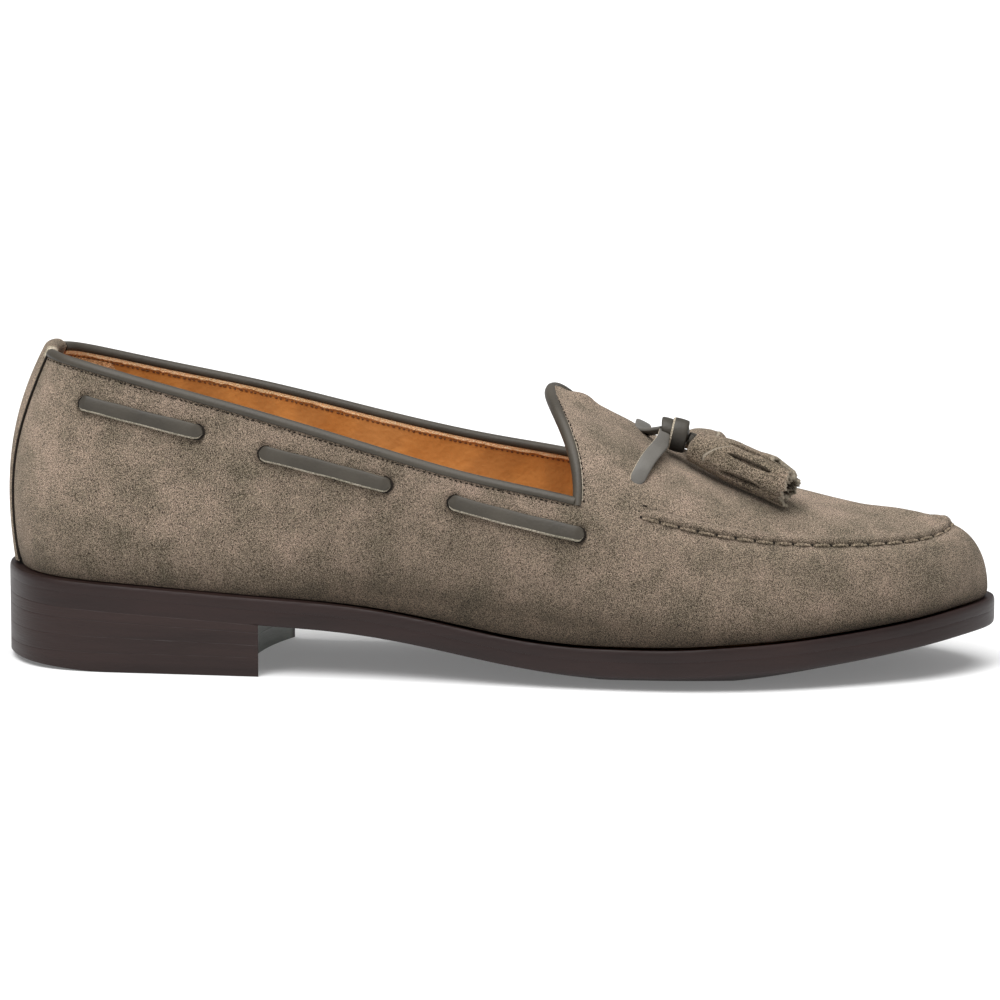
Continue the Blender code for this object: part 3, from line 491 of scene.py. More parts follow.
# The piece's attribute shade darkens slots, seams and the foot, and its attribute pale shows raw edges
def suedeMaterial(name, dark, light, speckle, patches, grain=4200.0, shaded=None, pale=None):
    made, tree, shader, where = startMaterial(name)
    nap = placeGroup(tree, napGroup, {
        "Where": where, "Dark": dark, "Light": light, "Speckle": speckle, "Patches": patches, "Grain": grain,
    })
    colour = nap.outputs["Color"]
    if shaded is not None:
        darker = mixNode(tree, 1.0, colour, shaded, "MULTIPLY")
        colour = mixNode(tree, attributeNode(tree, "shade"), colour, darker)
    if pale is not None:
        colour = mixNode(tree, attributeNode(tree, "pale"), colour, pale)
    feedNode(tree, shader, {
        "Base Color": colour, "Roughness": 0.95, "Specular IOR Level": 0.15,
        "Sheen Weight": 0.14, "Sheen Roughness": 0.6, "Sheen Tint": (1.0, 0.84, 0.68),
        "Normal": bumpNode(tree, nap.outputs["Height"], 0.7, 0.0004),
    })
    return made


def leatherMaterial(name, dark, light, roughness, pores=900.0, bump=0.25, shaded=None, stretch=None,
                    specular=0.5):
    made, tree, shader, where = startMaterial(name)
    if stretch is not None:  # draws the pattern out into fine lines
        node = tree.nodes.new("ShaderNodeVectorMath")
        node.operation = "MULTIPLY"
        node.inputs[1].default_value = stretch
        tree.links.new(where, node.inputs[0])
        where = node.outputs[0]
    grain = placeGroup(tree, grainGroup, {"Where": where, "Dark": dark, "Light": light, "Pores": pores})
    colour = grain.outputs["Color"]
    if shaded is not None:
        colour = mixNode(tree, attributeNode(tree, "shade"), colour, shaded)
    gloss = spreadNode(tree, grain.outputs["Gloss"], newLow=roughness - 0.06, newHigh=roughness + 0.08)
    feedNode(tree, shader, {
        "Base Color": colour, "Roughness": gloss, "Specular IOR Level": specular,
        "Normal": bumpNode(tree, grain.outputs["Height"], bump, 0.0003),
    })
    return made


finish = {
    "suede": suedeMaterial("taupeSuede", (0.022, 0.017, 0.013), (0.406, 0.324, 0.246), 3.2, 0.55, 5500.0,
                           shaded=(0.32, 0.31, 0.29)),
    "tasselSuede": suedeMaterial("tasselSuede", (0.022, 0.017, 0.012), (0.350, 0.278, 0.208), 2.9, 0.35,
                                 shaded=(0.12, 0.10, 0.08), pale=(0.36, 0.32, 0.25)),
    "rawEdge": suedeMaterial("rawLeatherEdge", (0.20, 0.175, 0.13), (0.60, 0.54, 0.44), 1.6, 0.3, 3000.0),
    "rawLace": suedeMaterial("rawLaceEdge", (0.16, 0.145, 0.115), (0.46, 0.43, 0.35), 1.6, 0.3, 3000.0),
    # The lining's raw peach edge, paler than its own colour: painted light, since the binding shades it
    "litPeachEdge": suedeMaterial("litPeachEdge", (0.95, 0.56, 0.27), (1.0, 0.84, 0.58), 1.2, 0.2, 2600.0),
    "grip": suedeMaterial("heelGrip", (0.360, 0.180, 0.075), (0.760, 0.450, 0.225), 1.4, 0.5, 2200.0),
    "thread": suedeMaterial("taupeThread", (0.075, 0.058, 0.040), (0.33, 0.27, 0.20), 2.2, 0.2, 3600.0),
    "lace": leatherMaterial("greyLace", (0.027, 0.0230, 0.0170), (0.059, 0.0505, 0.0385), 0.55, 1100.0, 0.3,
                            shaded=(0.008, 0.007, 0.006), specular=0.32),
    # Lighter copy of the grey lace for the arms over the vamp: painted sheen for the light they catch
    "laceFace": leatherMaterial("greyLaceFace", (0.072, 0.067, 0.059), (0.130, 0.121, 0.107), 0.50, 1100.0,
                                0.3, specular=0.35),
    "binding": leatherMaterial("greyBinding", (0.031, 0.0260, 0.0190), (0.062, 0.0525, 0.0395), 0.50, 1000.0,
                               specular=0.32),
    "lining": leatherMaterial("tanLining", (0.460, 0.168, 0.033), (0.740, 0.320, 0.080), 0.55, 620.0, 0.6,
                              shaded=(0.22, 0.082, 0.022)),
    "sole": leatherMaterial("burgundySole", (0.0088, 0.0041, 0.0036), (0.0225, 0.0110, 0.0096), 0.44, 620.0,
                            0.22, stretch=(0.35, 0.35, 2.2), specular=0.28),
    "heel": leatherMaterial("burgundyHeel", (0.0105, 0.0052, 0.0045), (0.0265, 0.0138, 0.0120), 0.46, 620.0,
                            0.35, shaded=(0.19, 0.20, 0.18), stretch=(0.22, 0.22, 3.2), specular=0.28),
    "insole": leatherMaterial("insoleLeather", (0.340, 0.150, 0.052), (0.460, 0.235, 0.090), 0.5, 500.0, 0.3),
    "liningThread": leatherMaterial("liningThread", (0.10, 0.038, 0.011), (0.20, 0.080, 0.026), 0.7,
                                    bump=0.2),
    # Near-black: the dark thread of the topline stitches, and painted shade in the stitch holes, the lace
    # slots, the apron's crease and the backstay's grooves
    "hole": leatherMaterial("darkThreadAndHoleShade", (0.007, 0.006, 0.005), (0.020, 0.016, 0.013), 0.9, bump=0.1,
                            specular=0.1),
}
print("finishes made")


# Building blocks
def clearChoice():
    for thing in bpy.context.selected_objects:
        thing.select_set(False)


def makePiece(name, points, faces, material, slotName, nodes=(), angle=40.0):
    points = np.asarray(points, float) + shift
    mesh = bpy.data.meshes.new(name)
    mesh.from_pydata(points.tolist(), [], [tuple(int(v) for v in face) for face in faces])
    mesh.validate()
    piece = bpy.data.objects.new(name, mesh)
    bpy.context.scene.collection.objects.link(piece)
    clearChoice()
    piece.select_set(True)
    bpy.context.view_layer.objects.active = piece
    bpy.ops.object.mode_set(mode="EDIT")
    bpy.ops.mesh.select_all(action="SELECT")
    bpy.ops.mesh.normals_make_consistent(inside=False)
    bpy.ops.object.mode_set(mode="OBJECT")
    bpy.ops.object.shade_smooth_by_angle(angle=math.radians(angle))
    mesh.materials.append(material)
    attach(piece, "root")
    if nodes:
        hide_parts(*nodes)
    return piece


def giveValues(piece, values, name="shade"):
    layer = piece.data.attributes.new(name, "FLOAT", "POINT")
    layer.data.foreach_set("value", np.clip(values, 0.0, 1.0).astype(np.float32))


def stripFaces(rows, columns, closed=False, loop=False):  # quads over a grid of points, row after row
    faces = []
    for i in range(rows if loop else rows - 1):
        low, high = i * columns, (i + 1) % rows * columns
        for k in range(columns if closed else columns - 1):
            after = (k + 1) % columns
            faces.append((low + k, low + after, high + after, high + k))
    return faces


def sweepPart(rings, loop=False):  # solid through rings of points, back to the first ring or with flat ends
    rings = np.asarray(rings, float)
    rows, columns = rings.shape[:2]
    faces = stripFaces(rows, columns, True, loop)
    if not loop:
        faces += [tuple(range(columns)), tuple(range((rows - 1) * columns, rows * columns))]
    return rings.reshape(-1, 3), faces


def joinParts(parts):  # one list of points and faces from several
    points, faces = [], []
    for somePoints, someFaces in parts:
        base = sum(len(group) for group in points)
        points.append(np.asarray(somePoints, float).reshape(-1, 3))
        faces += [tuple(base + v for v in face) for face in someFaces]
    return np.concatenate(points), faces


def ringAngles(count):
    return np.linspace(0.0, 2.0 * math.pi, count, endpoint=False)


def pathFrame(path, normals):  # sides and tops of a path on a surface
    ways = unit(np.gradient(path, axis=0))
    sides = unit(np.cross(normals, ways))
    return sides, np.cross(ways, sides)


def ringsRound(path, sides, tops, angles, wide, tall):  # round rings with these half sizes along a path
    sides, tops = (np.broadcast_to(field, path.shape)[:, None] for field in (sides, tops))
    across, up = (np.cos(angles) * wide)[..., None], (np.sin(angles) * tall)[..., None]
    return path[:, None] + sides * across + tops * up


# Lace bars, which the upper dips under: station and share of the wall's height at the back and front ends
laceBars = {
    "rear": (2.08, 0.838, 3.58, 0.836),
    "middle": (4.12, 0.810, 5.34, 0.814),
    "front": (5.85, 0.822, 7.10, 0.778),
}
barEnds = ((0, 1), (-1, -2))  # each end point and the one before it
lace = {
    "width": 0.0046,
    "thickness": 0.0015,
    "sink": 0.00104,
    "sinkReach": 0.0030,
    # A dark bead of painted slot shade round each end: its margin, rise and depth
    "slot": 0.0005,
    "slotRise": 0.00012,
    "slotDepth": 0.00028,
    "tip": 0.12,  # share of the width at the rounded ends
    "wave": (0.00018, 7.0),  # height and waves in radians over the bar
    "uneven": (0.025, 420.0),  # share of the width and waves in radians for each metre
}


def barSpots(sign, row, count):
    start, startLevel, end, endLevel = row
    share = np.linspace(0.0, 1.0, count)
    station = start + (end - start) * share
    station = station if sign > 0 else roundStations - station
    return lastFrame(station, startLevel + (endLevel - startLevel) * share)


# Upper
upperSizes = {
    "suede": 0.0009,  # thickness, the lining is behind it
    "columnsPerStation": 20,
    "wallRows": ((0.0, 0.70, 18), (0.70, 0.90, 14), (0.90, 1.0, 6)),  # levels from and to, and their rows
    "topRows": 28,
    "footTuck": (0.0006, 0.035),  # depth, and reach in levels
    "foldEnds": 0.35,  # share of a fold's depth at its ends
}
# Where the lace goes in: metres past the bar's end
slotSizes = {
    "reach": 0.0035,
    "near": 0.012,  # so that the shoe's other side is left alone
    "dip": 0.0008,
    "dipSpan": (-0.0065, -0.0004, -0.0002, 0.0011),
    "lip": 0.0004,
    "lipPlace": (0.0016, 0.0011),
    "shade": 0.6,
    "shadeSpan": (-0.0035, -0.0003, 0.0002, 0.0012),
    "barShade": (0.10, 0.0026, 0.0022),  # depth, distance below the bar and reach
}
# Shades as depth and reach in levels
upperShades = {
    "foot": (0.72, 0.16),
    "low": (0.20, 0.42),
    "waist": (0.40, 0.34),
    "waistPlace": (5.6, 1.7),  # station and reach in stations
    "side": (0.30, 1.02, 0.74),  # depth, and the levels over which it comes
    "sideStations": (3.4, 6.4),
    "seam": (0.45, 0.022),
    "seamStations": (7.6, 8.0),
}
# Soft troughs (depth above 0) and ridges (below 0): two ends as station and level, half width and depth
upperFolds = (
    ((7.6, 1.35), (8.3, 1.95), 0.0045, 0.0007),
    ((18.4, 1.35), (17.7, 1.95), 0.0045, 0.0007),
    ((8.2, 0.92), (9.2, 0.35), 0.0060, 0.0007),
    ((9.2, 1.35), (9.7, 1.95), 0.0070, 0.0006),
    ((16.8, 1.35), (16.3, 1.95), 0.0070, 0.0006),
    ((8.9, 1.30), (9.3, 1.70), 0.0050, -0.0004),
    ((5.5, 0.55), (6.8, 0.30), 0.0090, 0.0007),
    ((20.5, 0.55), (19.2, 0.30), 0.0090, 0.0007),
    ((1.2, 0.70), (1.6, 0.25), 0.0070, 0.0006),
    ((24.8, 0.70), (24.4, 0.25), 0.0070, 0.0006),
    ((7.17, 1.98), (7.55, 1.98), 0.0064, -0.0024),
    ((7.55, 1.98), (8.20, 1.98), 0.0075, -0.0012),
    ((10.6, 1.95), (13.0, 1.55), 0.0090, -0.0007),
    ((12.1, 1.16), (13.9, 1.16), 0.0070, -0.0006),
    ((3.6, 0.70), (4.3, 0.25), 0.0090, 0.0006),
    ((22.4, 0.70), (21.7, 0.25), 0.0090, 0.0006),
)


def foldRelief(points):  # how far the surface sinks at each point
    sink = np.zeros(points.shape[:-1])
    for (a, b, halfWidth, depth) in upperFolds:
        start, end = lastPoint(*a), lastPoint(*b)
        way = end - start
        along = np.clip(((points - start) @ way) / (way @ way), 0.0, 1.0)
        away = np.linalg.norm(points - start - along[..., None] * way, axis=-1)
        swell = np.sin(np.pi * np.clip(along, 0.08, 0.92))
        sink += depth * bell(away, halfWidth) * (1.0 - (1.0 - upperSizes["foldEnds"]) * (1.0 - swell))
    return sink


def slotRelief(points):  # the suede dips under each bar's ends and rises to a lip past them; painted shade darkens it round each end
    sink, shade = np.zeros(points.shape[:-1]), np.zeros(points.shape[:-1])
    lipAt, lipReach = slotSizes["lipPlace"]
    barDepth, barDrop, barReach = slotSizes["barShade"]
    for sign in (1, -1):
        for row in laceBars.values():
            spots, normals = barSpots(sign, row, 12)
            for end, before in barEnds:
                way = unit(spots[end] - spots[before])
                offset = points - spots[end]
                along, across = offset @ way, offset @ np.cross(normals[end], way)
                near = np.abs(offset @ normals[end]) < slotSizes["near"]
                wide = bell(across, slotSizes["reach"], 4) * near
                dip, lip = between(along, slotSizes["dipSpan"]), bell(along - lipAt, lipReach)
                sink += wide * (slotSizes["dip"] * dip - slotSizes["lip"] * lip)
                shade += slotSizes["shade"] * wide * between(along, slotSizes["shadeSpan"])
            # Contact shade along the bar's lower edge
            for spot, normal, way in zip(spots[1:-1], normals[1:-1], spots[2:] - spots[:-2]):
                side = np.cross(normal, unit(way))
                down = side if side[2] < 0.0 else -side
                shade += barDepth * bell(np.linalg.norm(points - spot - down * barDrop, axis=-1), barReach)
    return sink, shade


def upperShade(stations, levels):  # dark above the sole, at the waist, low on the sides and under the seam
    near = nearSide(stations)
    foot, low, waist = (upperShades[name][0] * bell(levels, upperShades[name][1], power)
                        for name, power in (("foot", 1.5), ("low", 2), ("waist", 2)))
    middle, reach = upperShades["waistPlace"]
    past = stations - middle
    atWaist = np.minimum(bell(past % roundStations, reach) + bell(past, reach), 1.0)
    depth, high, full = upperShades["side"]
    ahead = smoothStep(*upperShades["sideStations"], near)
    seam = upperShades["seam"][0] * bell(1.0 - levels, upperShades["seam"][1]) * (levels <= 1.0)
    beside = smoothStep(*upperShades["seamStations"], near)
    return foot + ahead * (depth * smoothStep(high, full, levels) + low) + atWaist * waist + beside * seam


def skinGrid(per, levels):  # columns and rows of points over the last, joined at its ridge, and their faces
    count, ridgeRow, wallRow = roundStations * per, len(levels) - 1, np.searchsorted(levels, 1.0)
    index, faces = {}, []

    def vertex(column, row):
        column %= count
        if row == ridgeRow and column > count // 2:
            column = count - column
        return index.setdefault((column, row), len(index))

    for column in range(count):
        vamp = throatStation * per <= column < (roundStations - throatStation) * per
        for row in range(ridgeRow if vamp else wallRow):
            corners = ((column, row), (column + 1, row), (column + 1, row + 1), (column, row + 1))
            faces.append(tuple(dict.fromkeys(vertex(*corner) for corner in corners)))
    columns, rows = np.array(list(index)).T
    return columns, rows, faces


def thicken(outer, inner, faces):  # closed shell between two skins that share their faces
    edges = {}
    for face in faces:
        for a, b in zip(face, face[1:] + face[:1]):
            edges[a, b] = edges.get((a, b), 0) + 1
    rim = [(a, b) for (a, b) in edges if (b, a) not in edges]
    base = len(outer)
    walls = [(b, a, a + base, b + base) for a, b in rim]
    backs = [tuple(v + base for v in reversed(face)) for face in faces]
    return np.concatenate([outer, inner]), faces + backs + walls


def makeUpper():
    per = upperSizes["columnsPerStation"]
    wall = [np.linspace(low, high, count, endpoint=False) for low, high, count in upperSizes["wallRows"]]
    levels = np.concatenate([*wall, np.linspace(1.0, 2.0, upperSizes["topRows"] + 1)])
    stations = np.arange(roundStations * per) / per
    points, normals = lastFrame(stations[:, None], levels)
    dip, shade = slotRelief(points)
    tuck, reach = upperSizes["footTuck"]
    sink = foldRelief(points) * smoothStep(0.0, 0.2, levels) + tuck * bell(levels, reach)
    shade = shade + upperShade(stations[:, None], levels)
    inside = points - normals * (sink + upperSizes["suede"])[..., None]
    outside = points - normals * (sink + dip)[..., None]
    columns, rows, faces = skinGrid(per, levels)
    shell = thicken(outside[columns, rows], inside[columns, rows], faces)
    piece = makePiece("suedeUpper", *shell, finish["suede"], "suede", ["upper"])
    giveValues(piece, np.tile(shade[columns, rows], 2))


makeUpper()
print("upper made")


# Lining and the grip patch inside the heel
liningSizes = {
    "outer": 0.00095,  # below the upper's face
    "inner": 0.0018,
    "columnsPerStation": 10,
    "wrinkle": 0.00018,
    "rows": (25, 15),  # rows of points up the wall and over the vamp
    "shade": (0.55, 0.75, 0.1),  # depth, and the levels over which it comes
    "wrinkleShade": 0.25,
}


def makeLining():
    per = liningSizes["columnsPerStation"]
    wallRows, topRows = liningSizes["rows"]
    levels = np.concatenate([np.linspace(0.0, 1.0, wallRows), np.linspace(1.0, 2.0, topRows)[1:]])
    stations = np.arange(roundStations * per)[:, None] / per
    points, normals = lastFrame(stations, levels)
    points = points - normals * (foldRelief(points) * smoothStep(0.0, 0.2, levels))[..., None]
    # Slanted wrinkles where the lining was eased round the quarters
    wave = np.sin(stations * 9.0 + levels * 7.0 + 2.0 * np.sin(stations * 2.3))
    wave = wave * smoothStep(1.0, 0.75, levels) * liningSizes["wrinkle"]
    columns, rows, faces = skinGrid(per, levels)
    points, normals, wave = (field[columns, rows] for field in (points, normals, wave))
    outer = points - normals * liningSizes["outer"]
    inner = points - normals * (liningSizes["inner"] - wave)[:, None]
    depth, high, full = liningSizes["shade"]
    tones = depth * smoothStep(high, full, levels[rows]) + liningSizes["wrinkleShade"] * (wave < 0.0)
    piece = makePiece("tanLining", *thicken(outer, inner, faces), finish["lining"], "lining_leather")
    giveValues(piece, np.tile(tones, 2))


gripSizes = {
    "thickness": 0.0006,
    "edge": 0.35,  # share of the thickness at its edge
    "reach": 2.75,  # stations to each side at half height
    "curve": 0.55,  # stations less at the top and bottom
    "low": 0.12,
    "high": 0.955,
    "grid": (30, 61),
}


def makeGrip():
    rows, columns = gripSizes["grid"]
    reach = gripSizes["reach"] - gripSizes["curve"] * np.linspace(-1.0, 1.0, rows) ** 2
    levels = np.linspace(gripSizes["low"], gripSizes["high"], rows)
    points, normals = lastFrame(reach[:, None] * np.linspace(-1.0, 1.0, columns), levels[:, None])
    points = points - normals * foldRelief(points)[..., None]
    base = points - normals * (last["wall"] + 0.00002)
    inner = np.minimum(1.0, np.minimum(stepsIn(rows)[:, None], stepsIn(columns)))
    thick = gripSizes["thickness"] * (gripSizes["edge"] + (1.0 - gripSizes["edge"]) * inner)
    over = base - normals * thick[..., None]
    shell = thicken(over.reshape(-1, 3), base.reshape(-1, 3), stripFaces(rows, columns))
    makePiece("heelGrip", *shell, finish["grip"], "lining_leather")


makeLining()
makeGrip()
print("lining made")

# Binding rolled over the edge of the opening. Profile: side from the wall's middle, rise off its edge, in mm
bindingSizes = {
    "profile": ((1.35, -1.62), (1.66, -1.40), (1.86, -0.90), (1.82, -0.25), (1.50, 0.40), (0.92, 0.90),
                (0.0, 1.06), (-0.92, 0.90), (-1.46, 0.42), (-1.70, -0.20), (-1.66, -0.85), (-1.36, -1.25)),
    "inside": ((-1.22, -1.20), (-1.22, 0.34), (1.24, 0.34), (1.24, -1.58)),
    "finer": 3,
    "overlap": 0.035,  # share of the wall by which the vamp's binding runs down over the collar's
    "rows": (40, 130, 90),  # rings round the heel, along each side and up each side of the vamp
}
backstaySizes = {
    "width": 0.0150,
    # share of the heel's height and extra width there
    "flare": ((0.0, 0.0055), (0.10, 0.0024), (0.25, 0.0010), (0.50, 0.0028), (0.78, 0.0062), (1.0, 0.0055)),
    "thickness": 0.0011,
    "fold": 0.0070,
    "topRoll": 0.0019,
    "groove": (0.0002, 0.0003, 0.00042),  # painted shade of the groove: a dark line beside the strip, its distance, rise and radius
}


def smoothThrough(points, finer):  # more points along a smooth curve through these
    run = runAlong(points)
    return openSplines(run, points)(np.linspace(0.0, run[-1], (len(points) - 1) * finer + 1))


def backstayStation(level, halfWidth):  # station where the heel's face is this far from its middle
    turns = np.linspace(0.0, 3.0, 301)
    across = np.abs(lastPoint(turns, level)[:, 1] - lastPoint(0.0, level)[1])
    return float(np.interp(halfWidth, across, turns))


def edgeFrames(stations, levels):  # points on the wall's edge, normals, and the ways off the edge
    points, normals = lastFrame(stations, levels)
    steps = unit(np.diff(points, axis=0))
    tangent = unit(np.concatenate([steps[:1], steps]) + np.concatenate([steps, steps[-1:]]))
    normals = unit(normals - tangent * np.sum(normals * tangent, axis=1, keepdims=True))
    off = np.cross(tangent, normals)
    return points, normals, off if off[len(off) // 2][2] > 0.0 else -off


def makeBinding():
    start = backstayStation(1.0, (backstaySizes["width"] + backstaySizes["flare"][-1][1]) / 2.0 + last["gap"])
    heel, along, up = bindingSizes["rows"]
    side = np.linspace(2.0, throatStation - 0.012, along)
    collar = np.concatenate([np.linspace(start, 2.0, heel)[:-1], side])
    rise = np.linspace(1.0 - bindingSizes["overlap"], 2.0, up)
    levels = np.concatenate([rise, rise[-2::-1]])
    vamp = np.where(np.arange(len(levels)) < len(rise), throatStation, roundStations - throatStation)
    profile = smoothThrough(bindingSizes["profile"], bindingSizes["finer"])
    shape = np.concatenate([profile, bindingSizes["inside"]]) * 1e-3
    routes = {}
    for name, title, route in (
        ("collarBindingLateral", "Lateral", (collar, 1.0)),
        ("collarBindingMedial", "Medial", (roundStations - collar, 1.0)),
        ("vampBinding", "Vamp", (vamp, levels)),
    ):
        points, normals, off = routes[title] = edgeFrames(*route)
        middle = points - normals * last["wall"] / 2.0
        rings = middle[:, None] + normals[:, None] * shape[:, :1] + off[:, None] * shape[:, 1:]
        makePiece(name, *sweepPart(rings), finish["binding"], "binding_leather", ["topline_binding"])
    return routes


bindingRoutes = makeBinding()
print("binding made")


# Backstay: strip up the heel's seam, rolled over the edge of the collar
def makeBackstay():
    columns, foldRow = 15, 48  # the raw edges show from this ring on, where the strip turns over the top
    across = np.linspace(-1.0, 1.0, columns)
    crown = (1.0 - 0.75 * np.abs(across) ** 6 - 0.12 * np.abs(across) ** 2)[:, None]
    foldLevel = 1.0 - backstaySizes["fold"] / np.linalg.norm(lastPoint(0.0, 1.0) - lastPoint(0.0, 0.0))
    thick, gap, wall = backstaySizes["thickness"], last["gap"], last["wall"]
    levels, extras = zip(*backstaySizes["flare"])
    halfAt = openSpline(levels, (backstaySizes["width"] + np.array(extras)) / 2.0)
    rings = []

    def ring(level, half, under, over, offUnder=0.0, offOver=0.0):
        station = backstayStation(level, half) * across
        points, normals = lastFrame(station, level)
        off = unit(lastPoint(station, level) - lastPoint(station, level - 0.02))
        lower = points + normals * under + off * offUnder
        upper = points + normals * (under + (over - under) * crown) + off * offOver
        rings.append(np.concatenate([lower, upper[::-1]]))

    for level in np.concatenate([np.linspace(0.012, 0.93, 46), np.linspace(0.94, 0.994, 6)]):
        ring(level, halfAt(level), gap, gap + thick)
    half, roll = halfAt(1.0), backstaySizes["topRoll"]
    for turn in np.linspace(0.0, math.pi, 11):
        side, rise = math.cos(turn), math.sin(turn)
        under, over = ((wall / 2.0 + gap + extra) * side - wall / 2.0 for extra in (0.0, thick))
        ring(1.0, half, under, over, gap + gap * rise, gap + (gap + crown * roll) * rise)
    for level in np.linspace(0.985, foldLevel, 5):
        ring(level, half, -wall - gap, -wall - gap - thick * 0.8)
    piece = makePiece("heelBackstay", *sweepPart(rings), finish["suede"], "suede", ["backstay"])
    piece.data.materials.append(finish["rawEdge"])
    for face in piece.data.polygons:
        turned = face.index // (2 * columns) > foldRow
        if turned and len(face.vertices) == 4 and (face.index + 2) % columns < 3:
            face.material_index = 1
    # Painted shade of the groove down both sides of the strip: a thin dark tube
    beside, rise, radius = backstaySizes["groove"]
    levels = np.linspace(0.02, 0.985, 60)
    grooves = []
    for sign in (-1.0, 1.0):
        stations = np.array([sign * backstayStation(level, halfAt(level) + beside) for level in levels])
        points, normals = lastFrame(stations, levels)
        path = points + normals * rise
        grooves.append(sweepPart(ringsRound(path, *pathFrame(path, normals), ringAngles(8), radius, radius)))
    makePiece("backstayGrooveShade", *joinParts(grooves), finish["hole"], "suede")


makeBackstay()
print("backstay made")


# Lace bars through the quarters. Section: across as a share of half the width, rise as one of the thickness
ribbonSection = np.array((
    (-1.0, 0.30), (-0.94, 0.10), (-0.80, 0.0), (0.80, 0.0), (0.94, 0.10), (1.0, 0.30), (1.0, 0.62),
    (0.93, 0.82), (0.78, 0.93), (0.40, 0.99), (0.0, 1.02), (-0.40, 0.99), (-0.78, 0.93), (-0.93, 0.82),
    (-1.0, 0.62),
))


def ribbonRings(points, normals, width, thickness, lifts, widths):
    sides, tops = pathFrame(points, normals)
    across = ribbonSection[:, :1] * (width / 2.0 * widths)[:, None, None]
    rises = np.broadcast_to(lifts, len(points))[:, None, None] + ribbonSection[:, 1:] * thickness
    return points[:, None] + sides[:, None] * across + tops[:, None] * rises


def paintEdges(piece, material, columns):  # gives a second finish to some columns of a swept strip
    piece.data.materials.append(material)
    for face in piece.data.polygons:
        if len(face.vertices) == 4 and face.index % len(ribbonSection) in columns:
            face.material_index = 1


def beadPart(spot, normal, way, length, width, depth):  # small flattened bead
    along = np.array((-1.0, -0.86, -0.5, 0.0, 0.5, 0.86, 1.0))[:, None]
    size = np.maximum(0.1, np.sqrt(1.0 - along**2))
    path, wide = spot + way * along * length / 2.0, size * width / 2.0
    return sweepPart(ringsRound(path, np.cross(normal, way), normal, ringAngles(12), wide, size * depth))


def makeBars():
    slots = []
    slot, half = lace["slot"], lace["width"] * 0.5
    (height, waves), (uneven, pace) = lace["wave"], lace["uneven"]
    for side, sign in (("lateral", 1), ("medial", -1)):
        for name, row in laceBars.items():
            points, normals = barSpots(sign, row, 60)
            length = np.linalg.norm(points[-1] - points[0])
            run = np.linspace(0.0, length, len(points))
            toEnd = np.minimum(run, length - run)
            lifts = last["gap"] - lace["sink"] * (1.0 - smoothStep(0.0, lace["sinkReach"], toEnd))
            lifts = lifts + height * np.sin(run / length * waves + sign)
            rounded = np.sqrt(1.0 - np.clip(1.0 - toEnd / half, 0.0, 1.0) ** 2)
            widths = lace["tip"] + (1.0 - lace["tip"]) * rounded
            widths = widths * (1.0 + uneven * np.sin(run * pace + sign))
            rings = ribbonRings(points, normals, lace["width"], lace["thickness"], lifts, widths)
            piece = makePiece(f"laceBar{side.title()}{name.title()}", *sweepPart(rings), finish["lace"],
                              "lace_leather", [f"lace_{side}_{name}"])
            paintEdges(piece, finish["rawLace"], (12, 13, 14) if sign > 0 else (5, 6, 7))
            # Painted shade of the slot: a dark bead showing round the lace at both ends
            for end, before in barEnds:
                way = unit(points[end] - points[before])
                middle = points[end] - way * (half - slot * 0.8) + normals[end] * lace["slotRise"]
                long, wide = lace["width"] + slot * 1.2, lace["width"] + slot
                slots.append(beadPart(middle, normals[end], way, long, wide, lace["slotDepth"]))
    makePiece("laceSlots", *joinParts(slots), finish["hole"], "suede")


makeBars()
print("lace bars made")


# Sole: plates from rows of points across, with a shaped edge. Edge: inset in mm and share of the height down
soleEdges = {
    "midsole": ((1.0, 0.0), (0.35, 0.03), (0.08, 0.20), (0.0, 0.45), (0.0, 0.75), (0.0, 0.97), (0.03, 1.0)),
    "outsole": ((0.03, 0.0), (0.0, 0.03), (0.0, 0.22), (0.0, 0.50), (0.05, 0.76), (0.16, 0.92), (0.42, 1.0)),
    "insole": ((0.6, 0.0), (0.2, 0.12), (0.0, 0.5), (0.2, 0.88), (0.6, 1.0)),
    "lift": ((0.05, 0.0), (0.0, 0.02), (0.0, 0.10), (0.0, 0.5), (0.0, 0.90), (0.0, 0.98), (0.05, 1.0)),
    "across": 13,
    "stepsPerStation": 12,
    "heelInset": 0.1,  # share of the outsole's inset over the heel, whose lifts it meets
    "touch": 0.00001,  # between plates that look like one
    "insoleGap": 0.0005,
}


